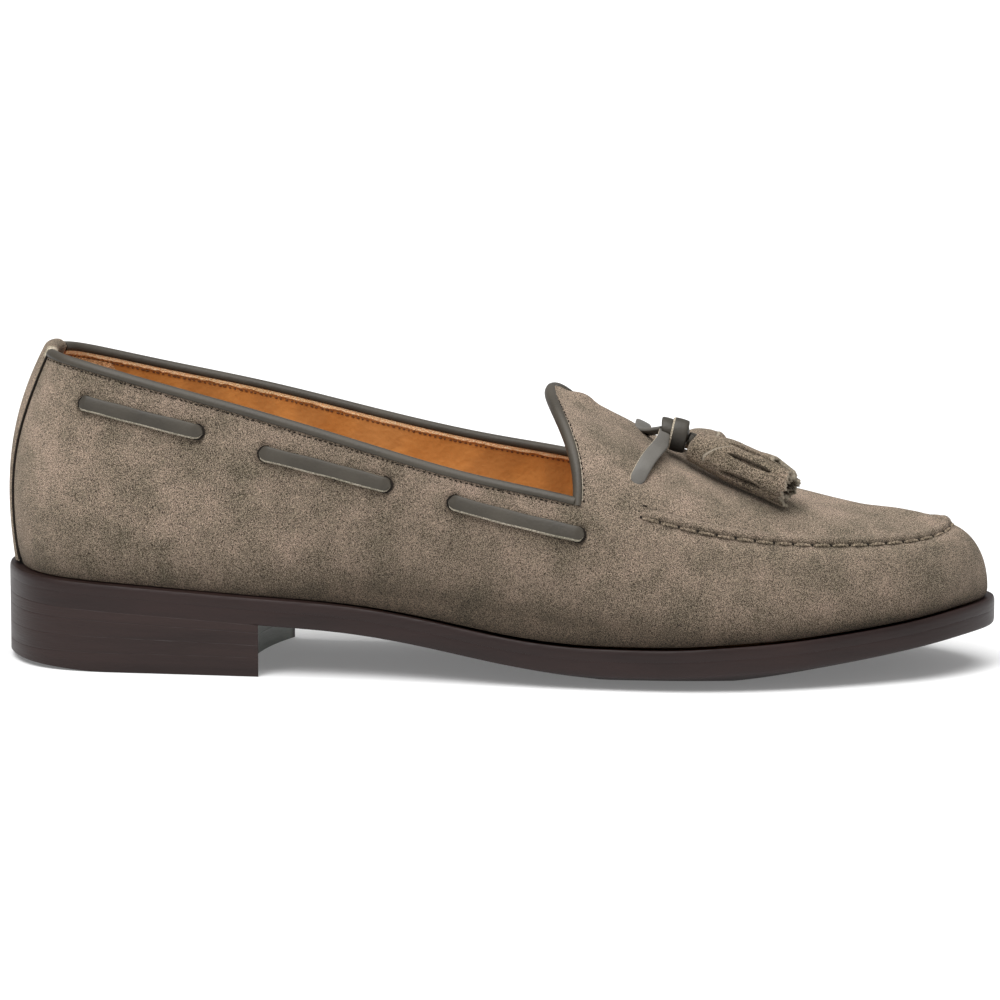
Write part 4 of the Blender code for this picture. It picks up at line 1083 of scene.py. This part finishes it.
def slabPart(rows, planAt, top, bottom, edge):  # slab over rows of shares across, marked inside its last row
    points, faces, marks = [], [], []
    final = len(rows) - 1

    def add(i, k, inset, height, mark=0.0):
        plan = planAt(i, rows[i][k], inset * 1e-3)
        points.append((plan[0], plan[1], height))
        marks.append(mark)
        return len(points) - 1

    def heightAt(surface, i, k):
        spread = 1.0 if len(rows[i]) == 1 else abs(2.0 * rows[i][k] - 1.0)
        return float(surface(planAt(i, rows[i][k], 0.0), spread))

    grids = [
        [[add(i, k, inset, heightAt(surface, i, k)) for k in range(len(row))] for i, row in enumerate(rows)]
        for surface, inset in ((top, edge[0][0]), (bottom, edge[-1][0]))
    ]
    for grid in grids:
        for first, second in zip(grid, grid[1:]):
            for k in range(max(len(first), len(second)) - 1):
                a = first[min(k, len(first) - 1)], first[min(k + 1, len(first) - 1)]
                b = second[min(k, len(second) - 1)], second[min(k + 1, len(second) - 1)]
                faces.append(tuple(dict.fromkeys([*a, *reversed(b)])))
    loop = [(i, 0) for i in range(final + 1)] + [(final, k) for k in range(1, len(rows[final]))]
    loop += [(i, len(rows[i]) - 1) for i in range(final - 1, 0, -1)]
    rims = [[grids[0][i][k] for i, k in loop]]
    for inset, share in edge[1:-1]:
        rim = []
        for i, k in loop:
            high, low = heightAt(top, i, k), heightAt(bottom, i, k)
            inner = i == final and 0 < k < len(rows[final]) - 1
            rim.append(add(i, k, inset, high + (low - high) * share, float(inner)))
        rims.append(rim)
    rims.append([grids[1][i][k] for i, k in loop])
    for over, under in zip(rims, rims[1:]):
        for k in range(len(loop)):
            after = (k + 1) % len(loop)
            faces.append((over[k], over[after], under[after], under[k]))
    return points, faces, marks


def soleOutline(station):
    return solePlan(station, 0.0), outward(station)


def insoleOutline(station):
    inset = last["wall"] + last["gap"] + soleEdges["insoleGap"]
    return footPlan(station) - outward(station) * inset, outward(station)


def makePlate(name, node, outline, low, high, material, slotName):  # low and high above the sole's underside
    count = toeStation * soleEdges["stepsPerStation"]
    stations = [toeStation * i / count for i in range(count + 1)]
    shares = 0.5 - 0.5 * np.cos(np.linspace(0.0, math.pi, soleEdges["across"]))
    rows = [(0.0,) if i in (0, count) else shares for i in range(count + 1)]
    ends = [(outline(station), outline(roundStations - station)) for station in stations]

    def planAt(i, q, inset):
        if node == "outsole" and stations[i] < breastStation:
            inset = inset * soleEdges["heelInset"]
        (a, wayA), (b, wayB) = ends[i]
        return (a - wayA * inset) * (1.0 - q) + (b - wayB * inset) * q

    points, faces, _ = slabPart(rows, planAt, lambda plan, spread: underside(plan[0], spread) + high,
                                lambda plan, spread: underside(plan[0], spread) + low, soleEdges[node])
    makePiece(name, points, faces, material, slotName, [node], angle=50.0)


def makeSoles():
    lift = last["outsole"] + last["gap"]
    base = soleStack + last["gap"]
    for name, node, outline, low, high, material, slotName in (
        ("leatherOutsole", "outsole", soleOutline, 0.0, lift - soleEdges["touch"], "sole", "sole_leather"),
        ("leatherMidsole", "midsole", soleOutline, lift, lift + last["midsole"], "sole", "sole_leather"),
        ("leatherInsole", "insole", insoleOutline, base, base + last["insole"], "insole", "lining_leather"),
    ):
        makePlate(name, node, outline, low, high, finish[material], slotName)


makeSoles()
print("soles made")

# Heel of three lifts and a top piece, hollow at the front
heelSizes = {
    "topPiece": 0.0058,
    "bevel": 0.0022,
    "bevelReach": 0.030,
    "hollow": 0.0065,
    "shares": (0.0, 0.39, 0.78, 1.0),
    "rows": 34,
    "across": 25,
}


def makeLift(name, top, bottom, slotName, node):
    count = heelSizes["rows"]

    def planAt(i, q, inset):
        share = (i / count) ** 0.85
        lateral, medial = breastStation * share, roundStations - breastStation * share
        bow = -heelSizes["hollow"] * share**3 * 4.0 * q * (1.0 - q)
        front = inset if i == count else 0.0
        full = solePlan(lateral, -inset) * (1.0 - q) + solePlan(medial, -inset) * q
        return full + np.array([bow - front, 0.0, 0.0])

    rows = [(0.0,) if i == 0 else np.linspace(0.0, 1.0, heelSizes["across"]) for i in range(count + 1)]
    points, faces, breast = slabPart(rows, planAt, top, bottom, soleEdges["lift"])
    piece = makePiece(name, points, faces, finish["heel"], slotName, [node], angle=50.0)
    giveValues(piece, breast)


def makeHeel():
    floor, touch, shares = heelSizes["topPiece"], soleEdges["touch"], heelSizes["shares"]

    def bevel(plan, _):
        return heelSizes["bevel"] * max(0.0, 1.0 - plan[0] / heelSizes["bevelReach"])

    def plane(share, drop=0.0):
        return lambda plan, spread: floor + (underside(plan[0], 0.0) - last["gap"] - floor) * share - drop

    makeLift("heelTopPiece", plane(0.0, touch), bevel, "top_piece", "heel_top_piece")
    for i, (low, high) in enumerate(zip(shares, shares[1:])):
        drop = touch - last["gap"] if high == 1.0 else touch  # the highest lift meets the outsole
        makeLift(f"heelLift{i + 1}", plane(high, drop), plane(low), "heel_leather", f"heel_lift_{i + 1}")


makeHeel()
print("heel made")

# Raised seam round the apron, sewn by hand along its lower side
seamSizes = {
    "start": 7.62,
    "width": 0.0036,
    "height": 0.0015,
    "section": ((0.0, 0.02), (0.05, 0.40), (0.16, 0.74), (0.32, 0.96), (0.50, 1.0), (0.68, 0.90),
                (0.84, 0.62), (0.95, 0.28), (1.0, 0.0)),
    # point of the section, its shade, and what a stitch and the seam's ends add
    "shades": ((0, 0.90, 0.0, 0.0), (1, 0.55, 0.3, 0.0), (2, 0.30, 0.2, 0.0), (3, 0.10, 0.0, 0.0),
               (-4, 0.12, 0.0, 0.40), (-3, 0.55, 0.0, 0.40), (-2, 0.75, 0.0, 0.25)),
    "stitch": 0.0057,
    "threadRadius": 0.00040,
    "threadRise": 0.00050,
    "ends": (0.12, 9.0),  # share of the height at both ends, and the steps over which it grows
    "toe": (0.3, 1.7),  # higher round the toe by this share, and reach in stations
    "pinch": (0.30, 0.0004),  # a stitch presses the roll down by this share and draws it up
    "bottom": 0.0004,  # depth of its underside in the upper
    "fade": 90.0,  # steps over which the ends' shade fades
    "threadDip": 0.0003,  # depth of the thread's ends
    "threadLean": 0.00025,
    "hole": 0.00043,
    # crease along the upper side: pitch, shortest length, what chance adds, width and share that is open
    "crease": (0.0016, 0.0007, 0.0007, 0.00022, 0.62),
    "endHole": (0.0014, 0.0007),  # length and width
}


def seamSpot(stations, rise):  # points a given way above the line, with their normals
    chord = np.linalg.norm(ridgePoint(stations) - linePoint(stations), axis=-1)
    return lastFrame(stations, 1.0 + tiny + rise / chord)


def spacedStations(start, end, step, rise=0.0):  # stations an even distance apart along the seam
    turns = np.linspace(start, end, 2000)
    run = runAlong(seamSpot(turns, rise)[0])
    count = max(2, round(run[-1] / step) + 1)
    return np.interp(np.linspace(0.0, run[-1], count), run, turns)


def makeSeam():
    begin, end = seamSizes["start"], roundStations - seamSizes["start"]
    holes = spacedStations(begin, end, seamSizes["stitch"])
    stations = spacedStations(begin, end, seamSizes["stitch"] / 8.0)
    order = np.interp(stations, holes, np.arange(len(holes)))
    pinch = np.cos(np.pi * (order - np.round(order))) ** 8
    ends = stepsIn(len(stations))
    (share, steps), (more, reach), (press, draw) = (seamSizes[name] for name in ("ends", "toe", "pinch"))
    tall = seamSizes["height"] * (share + (1.0 - share) * smoothStep(0.0, steps, ends))
    tall = tall * (1.0 + more * bell(stations - toeStation, reach))
    rings = []
    for across, rise in seamSizes["section"]:
        points, normals = seamSpot(stations, across * seamSizes["width"])
        low = 1.0 - across
        lift = last["gap"] * 0.5 + tall * rise * (1.0 - press * pinch * low)
        up = seamSpot(stations, (across + 0.05) * seamSizes["width"])[0] - points
        rings.append(points + normals * lift[:, None] + unit(up) * (draw * pinch * low)[:, None])
    under, downward = seamSpot(stations, 0.5 * seamSizes["width"])
    rings.append(under - downward * seamSizes["bottom"])
    rings = np.stack(rings, axis=1)
    piece = makePiece("apronRoll", *sweepPart(rings), finish["suede"], "suede", ["apron_seam"])
    tone = np.zeros(rings.shape[:2])
    for column, shade, atStitch, atEnd in seamSizes["shades"]:
        tone[:, column] = shade + atStitch * pinch + atEnd * np.exp(-ends / seamSizes["fade"])
    giveValues(piece, tone.reshape(-1))
    return holes


def threadPart(path, normals, radius, turns, taper=0.55):  # two twisted plies from hole to hole
    sides, overs = pathFrame(path, normals)
    share = np.linspace(0.0, 1.0, len(path))[:, None]
    size = radius * (taper + (1.0 - taper) * np.sin(np.pi * share) ** 0.5)
    angles = ringAngles(12)
    reach = size * (1.0 + 0.42 * np.cos(2.0 * (angles - 2.0 * math.pi * turns * share)))
    return sweepPart(ringsRound(path, sides, overs, angles, reach, reach * 0.85))


def seamBead(turn, rise, lift, length, width, depth):  # bead lying along the seam
    points, normals = seamSpot(np.array([turn, turn + 0.01]), rise)
    way, normal = unit(points[1] - points[0]), normals[0]
    return beadPart(points[0] + normal * lift, normal, way, length, width, depth)


def makeSeamStitches(holes):
    parts, hole, dip = [], seamSizes["hole"], seamSizes["threadDip"]
    for first, second in zip(holes, holes[1:]):
        turns = np.linspace(first, second, 31)
        points, normals = seamSpot(turns, -0.0001)
        arch = np.sin(np.pi * np.linspace(0.0, 1.0, 31)) ** 0.6
        path = points + normals * ((seamSizes["threadRise"] + dip) * arch - dip)[:, None]
        lean = (seamSizes["threadLean"] * (arch - 0.5))[:, None]
        path = path + unit(linePoint(turns) - ridgePoint(turns)) * lean
        parts.append(threadPart(path, normals, seamSizes["threadRadius"], 2.5))
    # Dark beads in the stitch holes: painted shade
    darks = [seamBead(turn, 0.0, 0.0002, hole * 2.2, hole * 1.8, 0.0004) for turn in holes]
    # Upper side of the roll: painted shade of a fine broken crease as dark dashes, with one larger hole at
    # each end
    chance = np.random.default_rng(7)
    pitch, shortest, more, thin, share = seamSizes["crease"]
    start = seamSizes["start"] + 0.04
    upper = spacedStations(start, roundStations - start, pitch, seamSizes["width"])
    for i, turn in enumerate(upper):
        atEnd = i in (0, len(upper) - 1)
        length, width = seamSizes["endHole"] if atEnd else (shortest + more * chance.random(), thin)
        if atEnd or chance.random() < share:
            darks.append(seamBead(turn, seamSizes["width"] * 1.02, 0.00012, length, width, 0.0002))
    makePiece("apronThread", *joinParts(parts), finish["thread"], "suede")
    makePiece("apronHoleShade", *joinParts(darks), finish["hole"], "suede")


makeSeamStitches(makeSeam())
print("apron seam made")

# Stitches beside the binding, the raw edge of the lining inside and the pale thread of the vamp's binding
trimSizes = {
    "stitchPitch": 0.0016,
    "stitch": (0.00085, 0.00040, 0.00025),
    # what chance changes: place as a share of the pitch, slant, length's least and range, and place across
    "chance": (0.3, 0.35, 0.7, 0.7, 0.0002),
    "outside": -0.0022,
    "inside": -0.0031,
    "rawTop": -0.0008,
    "rawLow": -0.0026,
    "rawThickness": 0.0005,
    # waves of its lower side: height, pace and start
    "rags": ((0.00009, 4100.0, 0.0), (0.00010, 9300.0, 1.0), (0.00006, 2100.0, 0.0)),
    "thread": (-0.00175, 0.00012, 0.00017, 60.0),  # off the edge, rise, radius and turns
}


def makeTrim():
    chance = np.random.default_rng(11)
    stray, slant, least, more, wander = trimSizes["chance"]
    outside, inside = [], []
    for name, (points, normals, off) in bindingRoutes.items():
        run = runAlong(points)
        count = int(run[-1] / trimSizes["stitchPitch"])
        for i in range(1, count):
            place = (i + stray * (chance.random() - 0.5)) / count * run[-1]
            spot, normal, rise = (np.array([np.interp(place, run, column) for column in field.T])
                                  for field in (points, normals, off))
            normal, rise = unit(normal), unit(rise)
            way = unit(np.cross(rise, normal) + rise * slant * (chance.random() - 0.5))
            length, width, depth = trimSizes["stitch"]
            length = length * (least + more * chance.random())
            outer = spot + rise * (trimSizes["outside"] + wander * (chance.random() - 0.5)) + normal * 0.00005
            outside.append(beadPart(outer, normal, way, length, width, depth))
            if name != "Vamp":
                inner = spot + rise * trimSizes["inside"] - normal * (last["wall"] + 0.00005)
                inside.append(beadPart(inner, normal, way, length * 1.1, width * 1.2, depth))
        # Raw peach edge of the lining below the binding, ragged along its lower side. Its peach is made paler
        # than the edge's own: painted light where the binding shades it.
        rags = sum(size * np.sin(run * pace + start) for size, pace, start in trimSizes["rags"])
        low = (trimSizes["rawLow"] + rags)[:, None]
        inner = points - normals * (last["wall"] + 0.00002)
        face = inner - normals * trimSizes["rawThickness"]
        ring = np.stack([
            inner + off * trimSizes["rawTop"],
            face + off * trimSizes["rawTop"],
            face + off * (low + 0.0004),
            inner - normals * 0.0001 + off * low,
            inner + off * low,
        ], axis=1)
        makePiece("liningEdge" + name, *sweepPart(ring[2:-2]), finish["litPeachEdge"], "lining_leather")
    makePiece("toplineStitches", *joinParts(outside), finish["hole"], "suede")
    makePiece("liningStitches", *joinParts(inside), finish["liningThread"], "lining_leather")
    points, normals, off = (field[3:-3] for field in bindingRoutes["Vamp"])
    away, rise, radius, turns = trimSizes["thread"]
    path = points + off * away + normals * rise
    thread = threadPart(path, normals, radius, turns, 0.9)
    makePiece("vampThreadLine", *thread, finish["rawEdge"], "binding_leather")


makeTrim()
print("trim made")

# The lace over the vamp, its knot and the two ends
vampLace = {
    "lateral": ((0.6440, -0.343), (0.6514, -0.280), (0.6576, -0.215), (0.6605, -0.160)),
    "medial": ((0.6395, 0.350), (0.6400, 0.270), (0.6405, 0.190), (0.6415, 0.110), (0.6430, 0.045)),
    "rise": {"lateral": 0.0020, "medial": -0.0010},
    # how each end runs into the knot from behind: along the knot, outwards and up, in millimetres
    "tuck": {"lateral": (-3.0, 2.4, -0.3), "medial": (-3.4, 2.0, -0.6)},
    "tuckLean": {"lateral": 0.4, "medial": 2.5},
    "arch": {"lateral": 0.0007, "medial": 0.0},
    "sink": (0.0019, 0.0035),  # depth at the slot, and the length over which it comes out
    "steps": 36,
    # steps of the arm that carry its final curve, and their places there, the last one being the tuck
    "picks": ((0, 7, 14, 21, 28, 35, 36), (0, 7, 14, 21, 28, 35, 48)),
    "rings": 62,
}
knotSizes = {
    "place": (0.6675, -0.064),
    "pitch": -15.0,
    "length": 0.0084,
    "radius": 0.0055,
    "thong": 0.0017,
    "core": ((-1.0, 0.40), (-0.72, 0.66), (-0.10, 0.74), (0.30, 0.78), (0.55, 0.76), (0.85, 0.62),
             (1.0, 0.34)),
}


def knotFrame():
    spot, normal = vampOver(*knotSizes["place"])
    pitch = math.radians(knotSizes["pitch"])
    axis = np.array([math.cos(pitch), 0.0, math.sin(pitch)])
    side = np.array([0.0, 1.0, 0.0])
    middle = spot + normal * (knotSizes["radius"] + lace["thickness"] * 0.5)
    return middle, axis, side, np.cross(axis, side)


def makeVampLace():
    middle, axis, side, up = knotFrame()
    picks, places = vampLace["picks"]
    depth, reach = vampLace["sink"]
    for name in ("lateral", "medial"):
        spots = [np.concatenate(vampOver(*place)) for place in vampLace[name]]
        turns = np.linspace(0.0, len(spots) - 1.0, vampLace["steps"])
        rows = openSplines(range(len(spots)), spots)(turns)
        points, normals = rows[:, :3], unit(rows[:, 3:])
        share = turns / turns[-1]
        lifts = 2.0 * last["gap"] + vampLace["rise"][name] * share**2
        lifts = lifts - depth * (1.0 - smoothStep(0.0, reach, runAlong(points)))
        lifts = lifts + vampLace["arch"][name] * np.sin(np.pi * share)
        face = -side if name == "lateral" else side
        tuck = middle + np.array(vampLace["tuck"][name]) * 1e-3 @ np.array([axis, face, up])
        path = np.concatenate([points + normals * lifts[:, None], [tuck]])
        normals = unit(np.concatenate([normals, [face + up * vampLace["tuckLean"][name]]]))
        fine = np.linspace(0.0, places[-1], vampLace["rings"])
        rows = openSplines(places, np.column_stack([path, normals])[list(picks)])(fine)
        widths = 0.45 + 0.55 * np.sqrt(np.clip(fine / 2.6, 0.0, 1.0)) - 0.25 * smoothStep(35.0, 46.0, fine)
        path, normals = rows[:, :3], unit(rows[:, 3:])
        rings = ribbonRings(path, normals, lace["width"] * 1.02, lace["thickness"] * 0.9, 0.0, widths)
        # The arms take the lighter copy of the lace, a painted sheen
        piece = makePiece("vampLace" + name.title(), *sweepPart(rings), finish["laceFace"], "lace_leather",
                          [f"vamp_lace_{name}"])
        paintEdges(piece, finish["rawEdge"], (3, 4, 5, 6))


# Bands of the knot: place along the axis and upwards, lean in degrees, radius sideways and upwards, width and
# thickness, all lengths in millimetres, and the shade underneath
knotBands = {
    "Front": (1.3, 0.0, -3.0, 5.35, 5.0, 4.9, 1.3, 0.85),
    "Back": (-2.2, 1.0, -12.0, 4.3, 3.0, 3.9, 1.1, 0.3),
}


def makeKnot():
    middle, axis, side, up = knotFrame()
    shares, sizes = np.array(knotSizes["core"]).T[:, :, None]
    path, size = middle + axis * shares * knotSizes["length"] / 2.0, sizes * knotSizes["radius"]
    rings = ringsRound(path, side, up, ringAngles(24), size * 1.05, size * 0.92)
    makePiece("knotCore", *sweepPart(rings), finish["lace"], "lace_leather", ["lace_knot"])
    turns = ringAngles(56)[:, None]
    cosine, sine = np.cos(turns), np.sin(turns)
    for name, (place, high, lean, wide, tall, width, thick, shade) in knotBands.items():
        tilt = math.tan(math.radians(lean))
        bulge = 1.0 + 0.03 * np.sin(3.0 * turns + place)
        base = axis * (place + tilt * tall * sine) + up * high
        base = base + (side * cosine * (wide - thick) + up * sine * (tall - thick)) * bulge
        reach = (side * cosine + up * sine) * bulge
        rings = base[:, None] + axis * ribbonSection[:, :1] * width / 2.0
        rings = middle + (rings + reach[:, None] * ribbonSection[:, 1:] * thick) * 1e-3
        piece = makePiece("knotBand" + name, *sweepPart(rings, loop=True), finish["lace"], "lace_leather",
                          ["lace_knot"])
        giveValues(piece, np.repeat(smoothStep(0.55, -0.75, sine) * shade, len(ribbonSection)))
        if name == "Front":
            paintEdges(piece, finish["rawEdge"], (12, 13, 14, 0))


# Tassels: place of the head, heading in degrees, rise at the head and the end, and height as a share of width
tasselRows = {
    "lateral": ((0.6900, -0.088), -19.0, (0.0006, 0.0), 1.0),
    "medial": ((0.6850, 0.100), 72.0, (0.0008, 0.0014), 0.56),
}
tasselSizes = {
    "length": 0.0340,
    "head": 0.0048,
    "skirt": 0.0062,
    "clearance": 0.0006,
    "start": -0.045,  # the head's top stands this share of the length before its place
    "profile": ((-0.045, -1.9), (-0.03, -1.0), (0.02, -0.10), (0.18, 0.45), (0.32, 0.90), (0.44, 1.0),
                (0.64, 1.0), (0.86, 0.85), (1.0, 0.60)),
    "ragged": ((0.012, 11.0), (0.008, 23.0)),  # share of the length and count of the end's waves
    "slit": 0.0021,
    "crease": 0.0004,  # past a slit's end
    "inner": 0.0016,  # how much smaller the inner roll is
    "innerSlits": (21.0, 0.06, 0.97, 0.8),  # turned and moved on by, end, and share of the half width
    "layer": 0.0013,
    # rings of the end: share of the length past the rim, share of the layer inwards, shade and paleness
    "endRings": ((0.012, 0.15, 0.0, 0.5), (0.016, 0.5, 0.0, 0.6), (0.010, 0.85, 0.1, 0.4),
                 (-0.01, 1.0, 0.6, 0.0), (-0.10, 1.05, 1.0, 0.0), (-0.22, 1.1, 1.0, 0.0)),
    "around": 144,
    "rows": 84,
}
# Outer layer's edge over the near tassel's front, in degrees and shares of the length
petalSizes = {
    "middle": 180.0,
    "span": (-62.0, -50.0, 4.0, 26.0),
    "start": 0.17,
    "slant": (46.0, 1.3, 1.4),  # degrees for one more start, the most of them and the curve's power
    "step": 0.0006,  # thickness in metres
    "stepSpan": (-0.012, 0.010),
    "thin": (0.6, 0.35),  # share of the step lost, and over what length
    "paleReach": 0.011,
    "shade": (0.5, 0.025, 0.012),  # depth, distance before the edge and reach
}
# Slits of the outer roll: angle in degrees, start and end as shares of the length, half width in degrees
tasselSlits = (
    (66.0, 0.38, 0.76, 4.0), (111.0, 0.37, 0.66, 4.6), (147.0, 0.41, 0.84, 6.0), (206.0, 0.38, 0.80, 11.0),
    (240.0, 0.38, 0.82, 5.0), (280.0, 0.36, 0.78, 5.0), (322.0, 0.34, 0.74, 5.5), (16.0, 0.38, 0.80, 5.0),
)
tasselEnds = (0.77, 0.97, 1.0, 0.97, 1.0, 0.95, 0.98, 0.95)  # where the strip after each slit ends
tasselCurl = (0.5, 0.3, 0.4, -0.5, 0.6, -0.4, 0.6, -0.5)  # how far its end bends out, in millimetres


def tasselSpine(row):  # middle line of a tassel on the vamp, as a smooth curve
    place, heading, rises, height = row
    heading = math.radians(heading)
    head, skirt = tasselSizes["head"], tasselSizes["skirt"]

    def centre(part):
        reach = 0.93 * tasselSizes["length"] * part
        spot, normal = vampOver(place[0] + reach * math.cos(heading) / last["soleLength"],
                                place[1] + reach * math.sin(heading) / last["ballWidth"])
        radius = head + (skirt - head) * min(1.0, 3.0 * max(0.0, part))
        rise = rises[0] + (rises[1] - rises[0]) * max(0.0, part)
        return spot + normal * (radius * height + tasselSizes["clearance"] + rise)

    knots = np.linspace(-0.1, 1.1, 13)
    return openSplines(knots, [centre(part) for part in knots])


def tasselPath(spine, shares):  # points of the middle line, its ways, sides and ups
    ways = unit(spine(shares + 0.02) - spine(shares - 0.02))
    sides = unit(np.cross(upright, ways))
    return spine(shares), ways, sides, np.cross(ways, sides)


def gapAt(angle, centre):  # from -180 to 180 degrees
    return (angle - centre + 180.0) % 360.0 - 180.0


def petalEdge(angles, along, radius, tone):  # step, pale line and shade at the outer layer's edge
    away, power = gapAt(angles, petalSizes["middle"]), petalSizes["slant"][2]
    slant = np.clip(gapAt(petalSizes["middle"], angles) / petalSizes["slant"][0], 0.0, petalSizes["slant"][1])
    past = along - petalSizes["start"] * (1.0 + slant**power)
    within = between(away, petalSizes["span"])
    lost, length = petalSizes["thin"]
    thin = 1.0 - lost * smoothStep(0.0, length, past)
    radius = radius + petalSizes["step"] * smoothStep(*petalSizes["stepSpan"], past) * within * thin
    depth, before, reach = petalSizes["shade"]
    tone = np.maximum(tone, depth * bell(past + before, reach) * within)
    return radius, tone, bell(past, petalSizes["paleReach"]) * within


def rollPart(row, drop, slits, ends, curls, petal):  # one roll of cut suede, with its shades and paleness
    count, head = tasselSizes["around"], tasselSizes["head"]
    angles = np.linspace(0.0, 360.0, count, endpoint=False)
    turns = np.radians(angles)
    order = np.argsort([slit[0] for slit in slits])
    strip = order[np.searchsorted([slits[i][0] for i in order], angles, side="right") - 1]
    rimAt = np.array(ends)[strip] + sum(size * np.sin(turns * waves) for size, waves in tasselSizes["ragged"])
    curl = np.array(curls)[strip] * 1e-3
    profile = openSpline(*zip(*tasselSizes["profile"]))
    span = tasselSizes["skirt"] - head
    spine = tasselSpine(row)
    rings, tones, pales = [], [], []

    def add(along, radius, tone, pale):
        path, _, sides, ups = tasselPath(spine, np.clip(np.broadcast_to(along, count), -0.05, 1.08))
        rings.append(path + sides * (np.cos(turns) * radius)[:, None]
                     + ups * (np.sin(turns) * radius * row[3])[:, None])
        tones.append(np.broadcast_to(tone, count))
        pales.append(np.broadcast_to(pale, count))

    for value in np.linspace(0.0, 1.0, tasselSizes["rows"]) ** 0.9:
        along = tasselSizes["start"] + value * (rimAt - tasselSizes["start"])
        radius = head + span * profile(np.minimum(along, 1.0)) - drop
        deep, tone, pale = np.zeros((3, count))
        for centre, begin, end, half in slits:
            away = gapAt(angles, centre)
            inside = np.clip((along - begin) / (end - begin), 0.0, 1.0)
            wide = half * np.sin(np.pi * inside) ** 0.6 + 1e-6
            near = bell(away, wide + 0.4, 4) * (inside > 0.0) * (inside < 1.0)
            crease = bell(away, 3.0) * smoothStep(end - 0.05, end + 0.1, along)
            # The slits and the creases past their ends take painted shade
            deep, tone = np.maximum(deep, near), np.maximum(tone, np.maximum(near, 0.4 * crease))
            radius = radius - tasselSizes["crease"] * crease
        radius = radius - tasselSizes["slit"] * deep + curl * smoothStep(0.80, 1.0, value)
        radius = radius + 0.00012 * np.sin(turns * 5.0 + value * 6.0)
        if petal:
            radius, tone, pale = petalEdge(angles, along, radius, tone)
        add(along, radius, tone, np.maximum(pale, 0.5 * smoothStep(0.955, 1.0, value) * (strip == 0)))
    rim = head + span * profile(rimAt) - drop + curl
    for extra, inset, tone, pale in tasselSizes["endRings"]:
        add(rimAt + extra, np.maximum(rim - tasselSizes["layer"] * inset, 0.0006), tone, pale)
    # A dark cap closes the roll inside: painted shade
    add(0.70, 0.0004, 1.0, 0.0)
    return (*sweepPart(rings), np.concatenate(tones), np.concatenate(pales))


def makeTassel(side):
    row = tasselRows[side]
    turned, later, end, share = tasselSizes["innerSlits"]
    inner = [(angle + turned, begin + later, end, half * share) for angle, begin, _, half in tasselSlits]
    innerEnds = [1.0 - 0.02 * (i % 3) for i in range(len(inner))]
    innerCurl = [0.3 * (-1) ** i for i in range(len(inner))]
    rolls = [rollPart(row, 0.0, tasselSlits, tasselEnds, tasselCurl, True),
             rollPart(row, tasselSizes["inner"], inner, innerEnds, innerCurl, False)]
    piece = makePiece("suedeTassel" + side.title(), *joinParts([roll[:2] for roll in rolls]),
                      finish["tasselSuede"], "suede", [f"tassel_{side}"], angle=60.0)
    # The inner roll, inside the outer one, takes at least this much painted shade
    giveValues(piece, np.concatenate([rolls[0][2], np.maximum(rolls[1][2], 0.35)]))
    giveValues(piece, np.concatenate([roll[3] for roll in rolls]), "pale")
    return piece


def makeLaceEnd(name, tassel):
    thong = knotSizes["thong"]
    middle, axis, side, up = knotFrame()
    spine = tasselSpine(tasselRows[name])
    heads, ways, _, _ = tasselPath(spine, np.array([0.0]))
    leave = side * math.copysign(thong * 1.2, tasselRows[name][1])
    start = middle + axis * (knotSizes["length"] / 2.0 + last["gap"]) + leave
    reach = np.linalg.norm(heads[0] - start) * 0.3
    share = np.linspace(0.0, 1.0, 12)[:, None]
    shown = curve4(start, start + axis * reach, heads[0] - ways[0] * reach, heads[0], share)
    path = np.concatenate([shown, spine(np.linspace(0.04, 0.88, 22))])
    rings = ringsRound(path, *pathFrame(path, up), ringAngles(16), thong, thong * 0.85)
    piece = makePiece("laceEnd" + name.title(), *sweepPart(rings), finish["lace"], "lace_leather",
                      [f"lace_end_{name}"])
    path = path + shift


makeVampLace()
makeKnot()
for tasselSide in tasselRows:
    makeLaceEnd(tasselSide, makeTassel(tasselSide))
print("knot and tassels made")


# Floor and light
stageSizes = {
    "floor": 16.0,
    "floorTone": (0.66, 0.66, 0.66),
    "glow": 0.16,  # the floor is a softly lit table
    "world": 0.46,
    # energy, spread, height above the floor and turn to the right of square on, in degrees
    "lights": {"keyLight": (1.5, 30.0, 50.0, -28.0), "topLight": (3.3, 60.0, 78.0, 0.0)},
}


def makeStage():
    clearChoice()
    bpy.ops.mesh.primitive_plane_add(size=stageSizes["floor"], location=(0.0, 0.0, 0.0))
    floor = bpy.context.object
    floor.name = "floor"
    made, tree, shader, _ = startMaterial("paleFloor")
    feedNode(tree, shader, {
        "Base Color": stageSizes["floorTone"], "Emission Color": (1.0, 1.0, 1.0),
        "Emission Strength": stageSizes["glow"], "Roughness": 0.9, "Specular IOR Level": 0.1,
    })
    floor.data.materials.append(made)
    world = bpy.data.worlds.new("studio")
    world.use_nodes = True
    tree = world.node_tree
    paths = tree.nodes.new("ShaderNodeLightPath")
    strength = mathNode(tree, "MULTIPLY", paths.outputs["Is Camera Ray"], 1.0 - stageSizes["world"])
    strength = mathNode(tree, "ADD", strength, stageSizes["world"])
    feedNode(tree, tree.nodes["Background"], {"Color": (1.0, 1.0, 1.0), "Strength": strength})
    bpy.context.scene.world = world
    for name, (energy, spread, height, turn) in stageSizes["lights"].items():
        sun = bpy.data.lights.new(name, "SUN")
        sun.energy, sun.angle = energy, math.radians(spread)
        lamp = bpy.data.objects.new(name, sun)
        height, turn = math.radians(height), math.radians(turn)
        level = math.cos(height)
        way = Vector((-math.sin(turn) * level, math.cos(turn) * level, -math.sin(height)))
        lamp.rotation_euler = way.to_track_quat("-Z", "Y").to_euler()
        bpy.context.scene.collection.objects.link(lamp)
    bpy.context.scene.view_settings.view_transform = "Standard"


makeStage()
print("scene done")
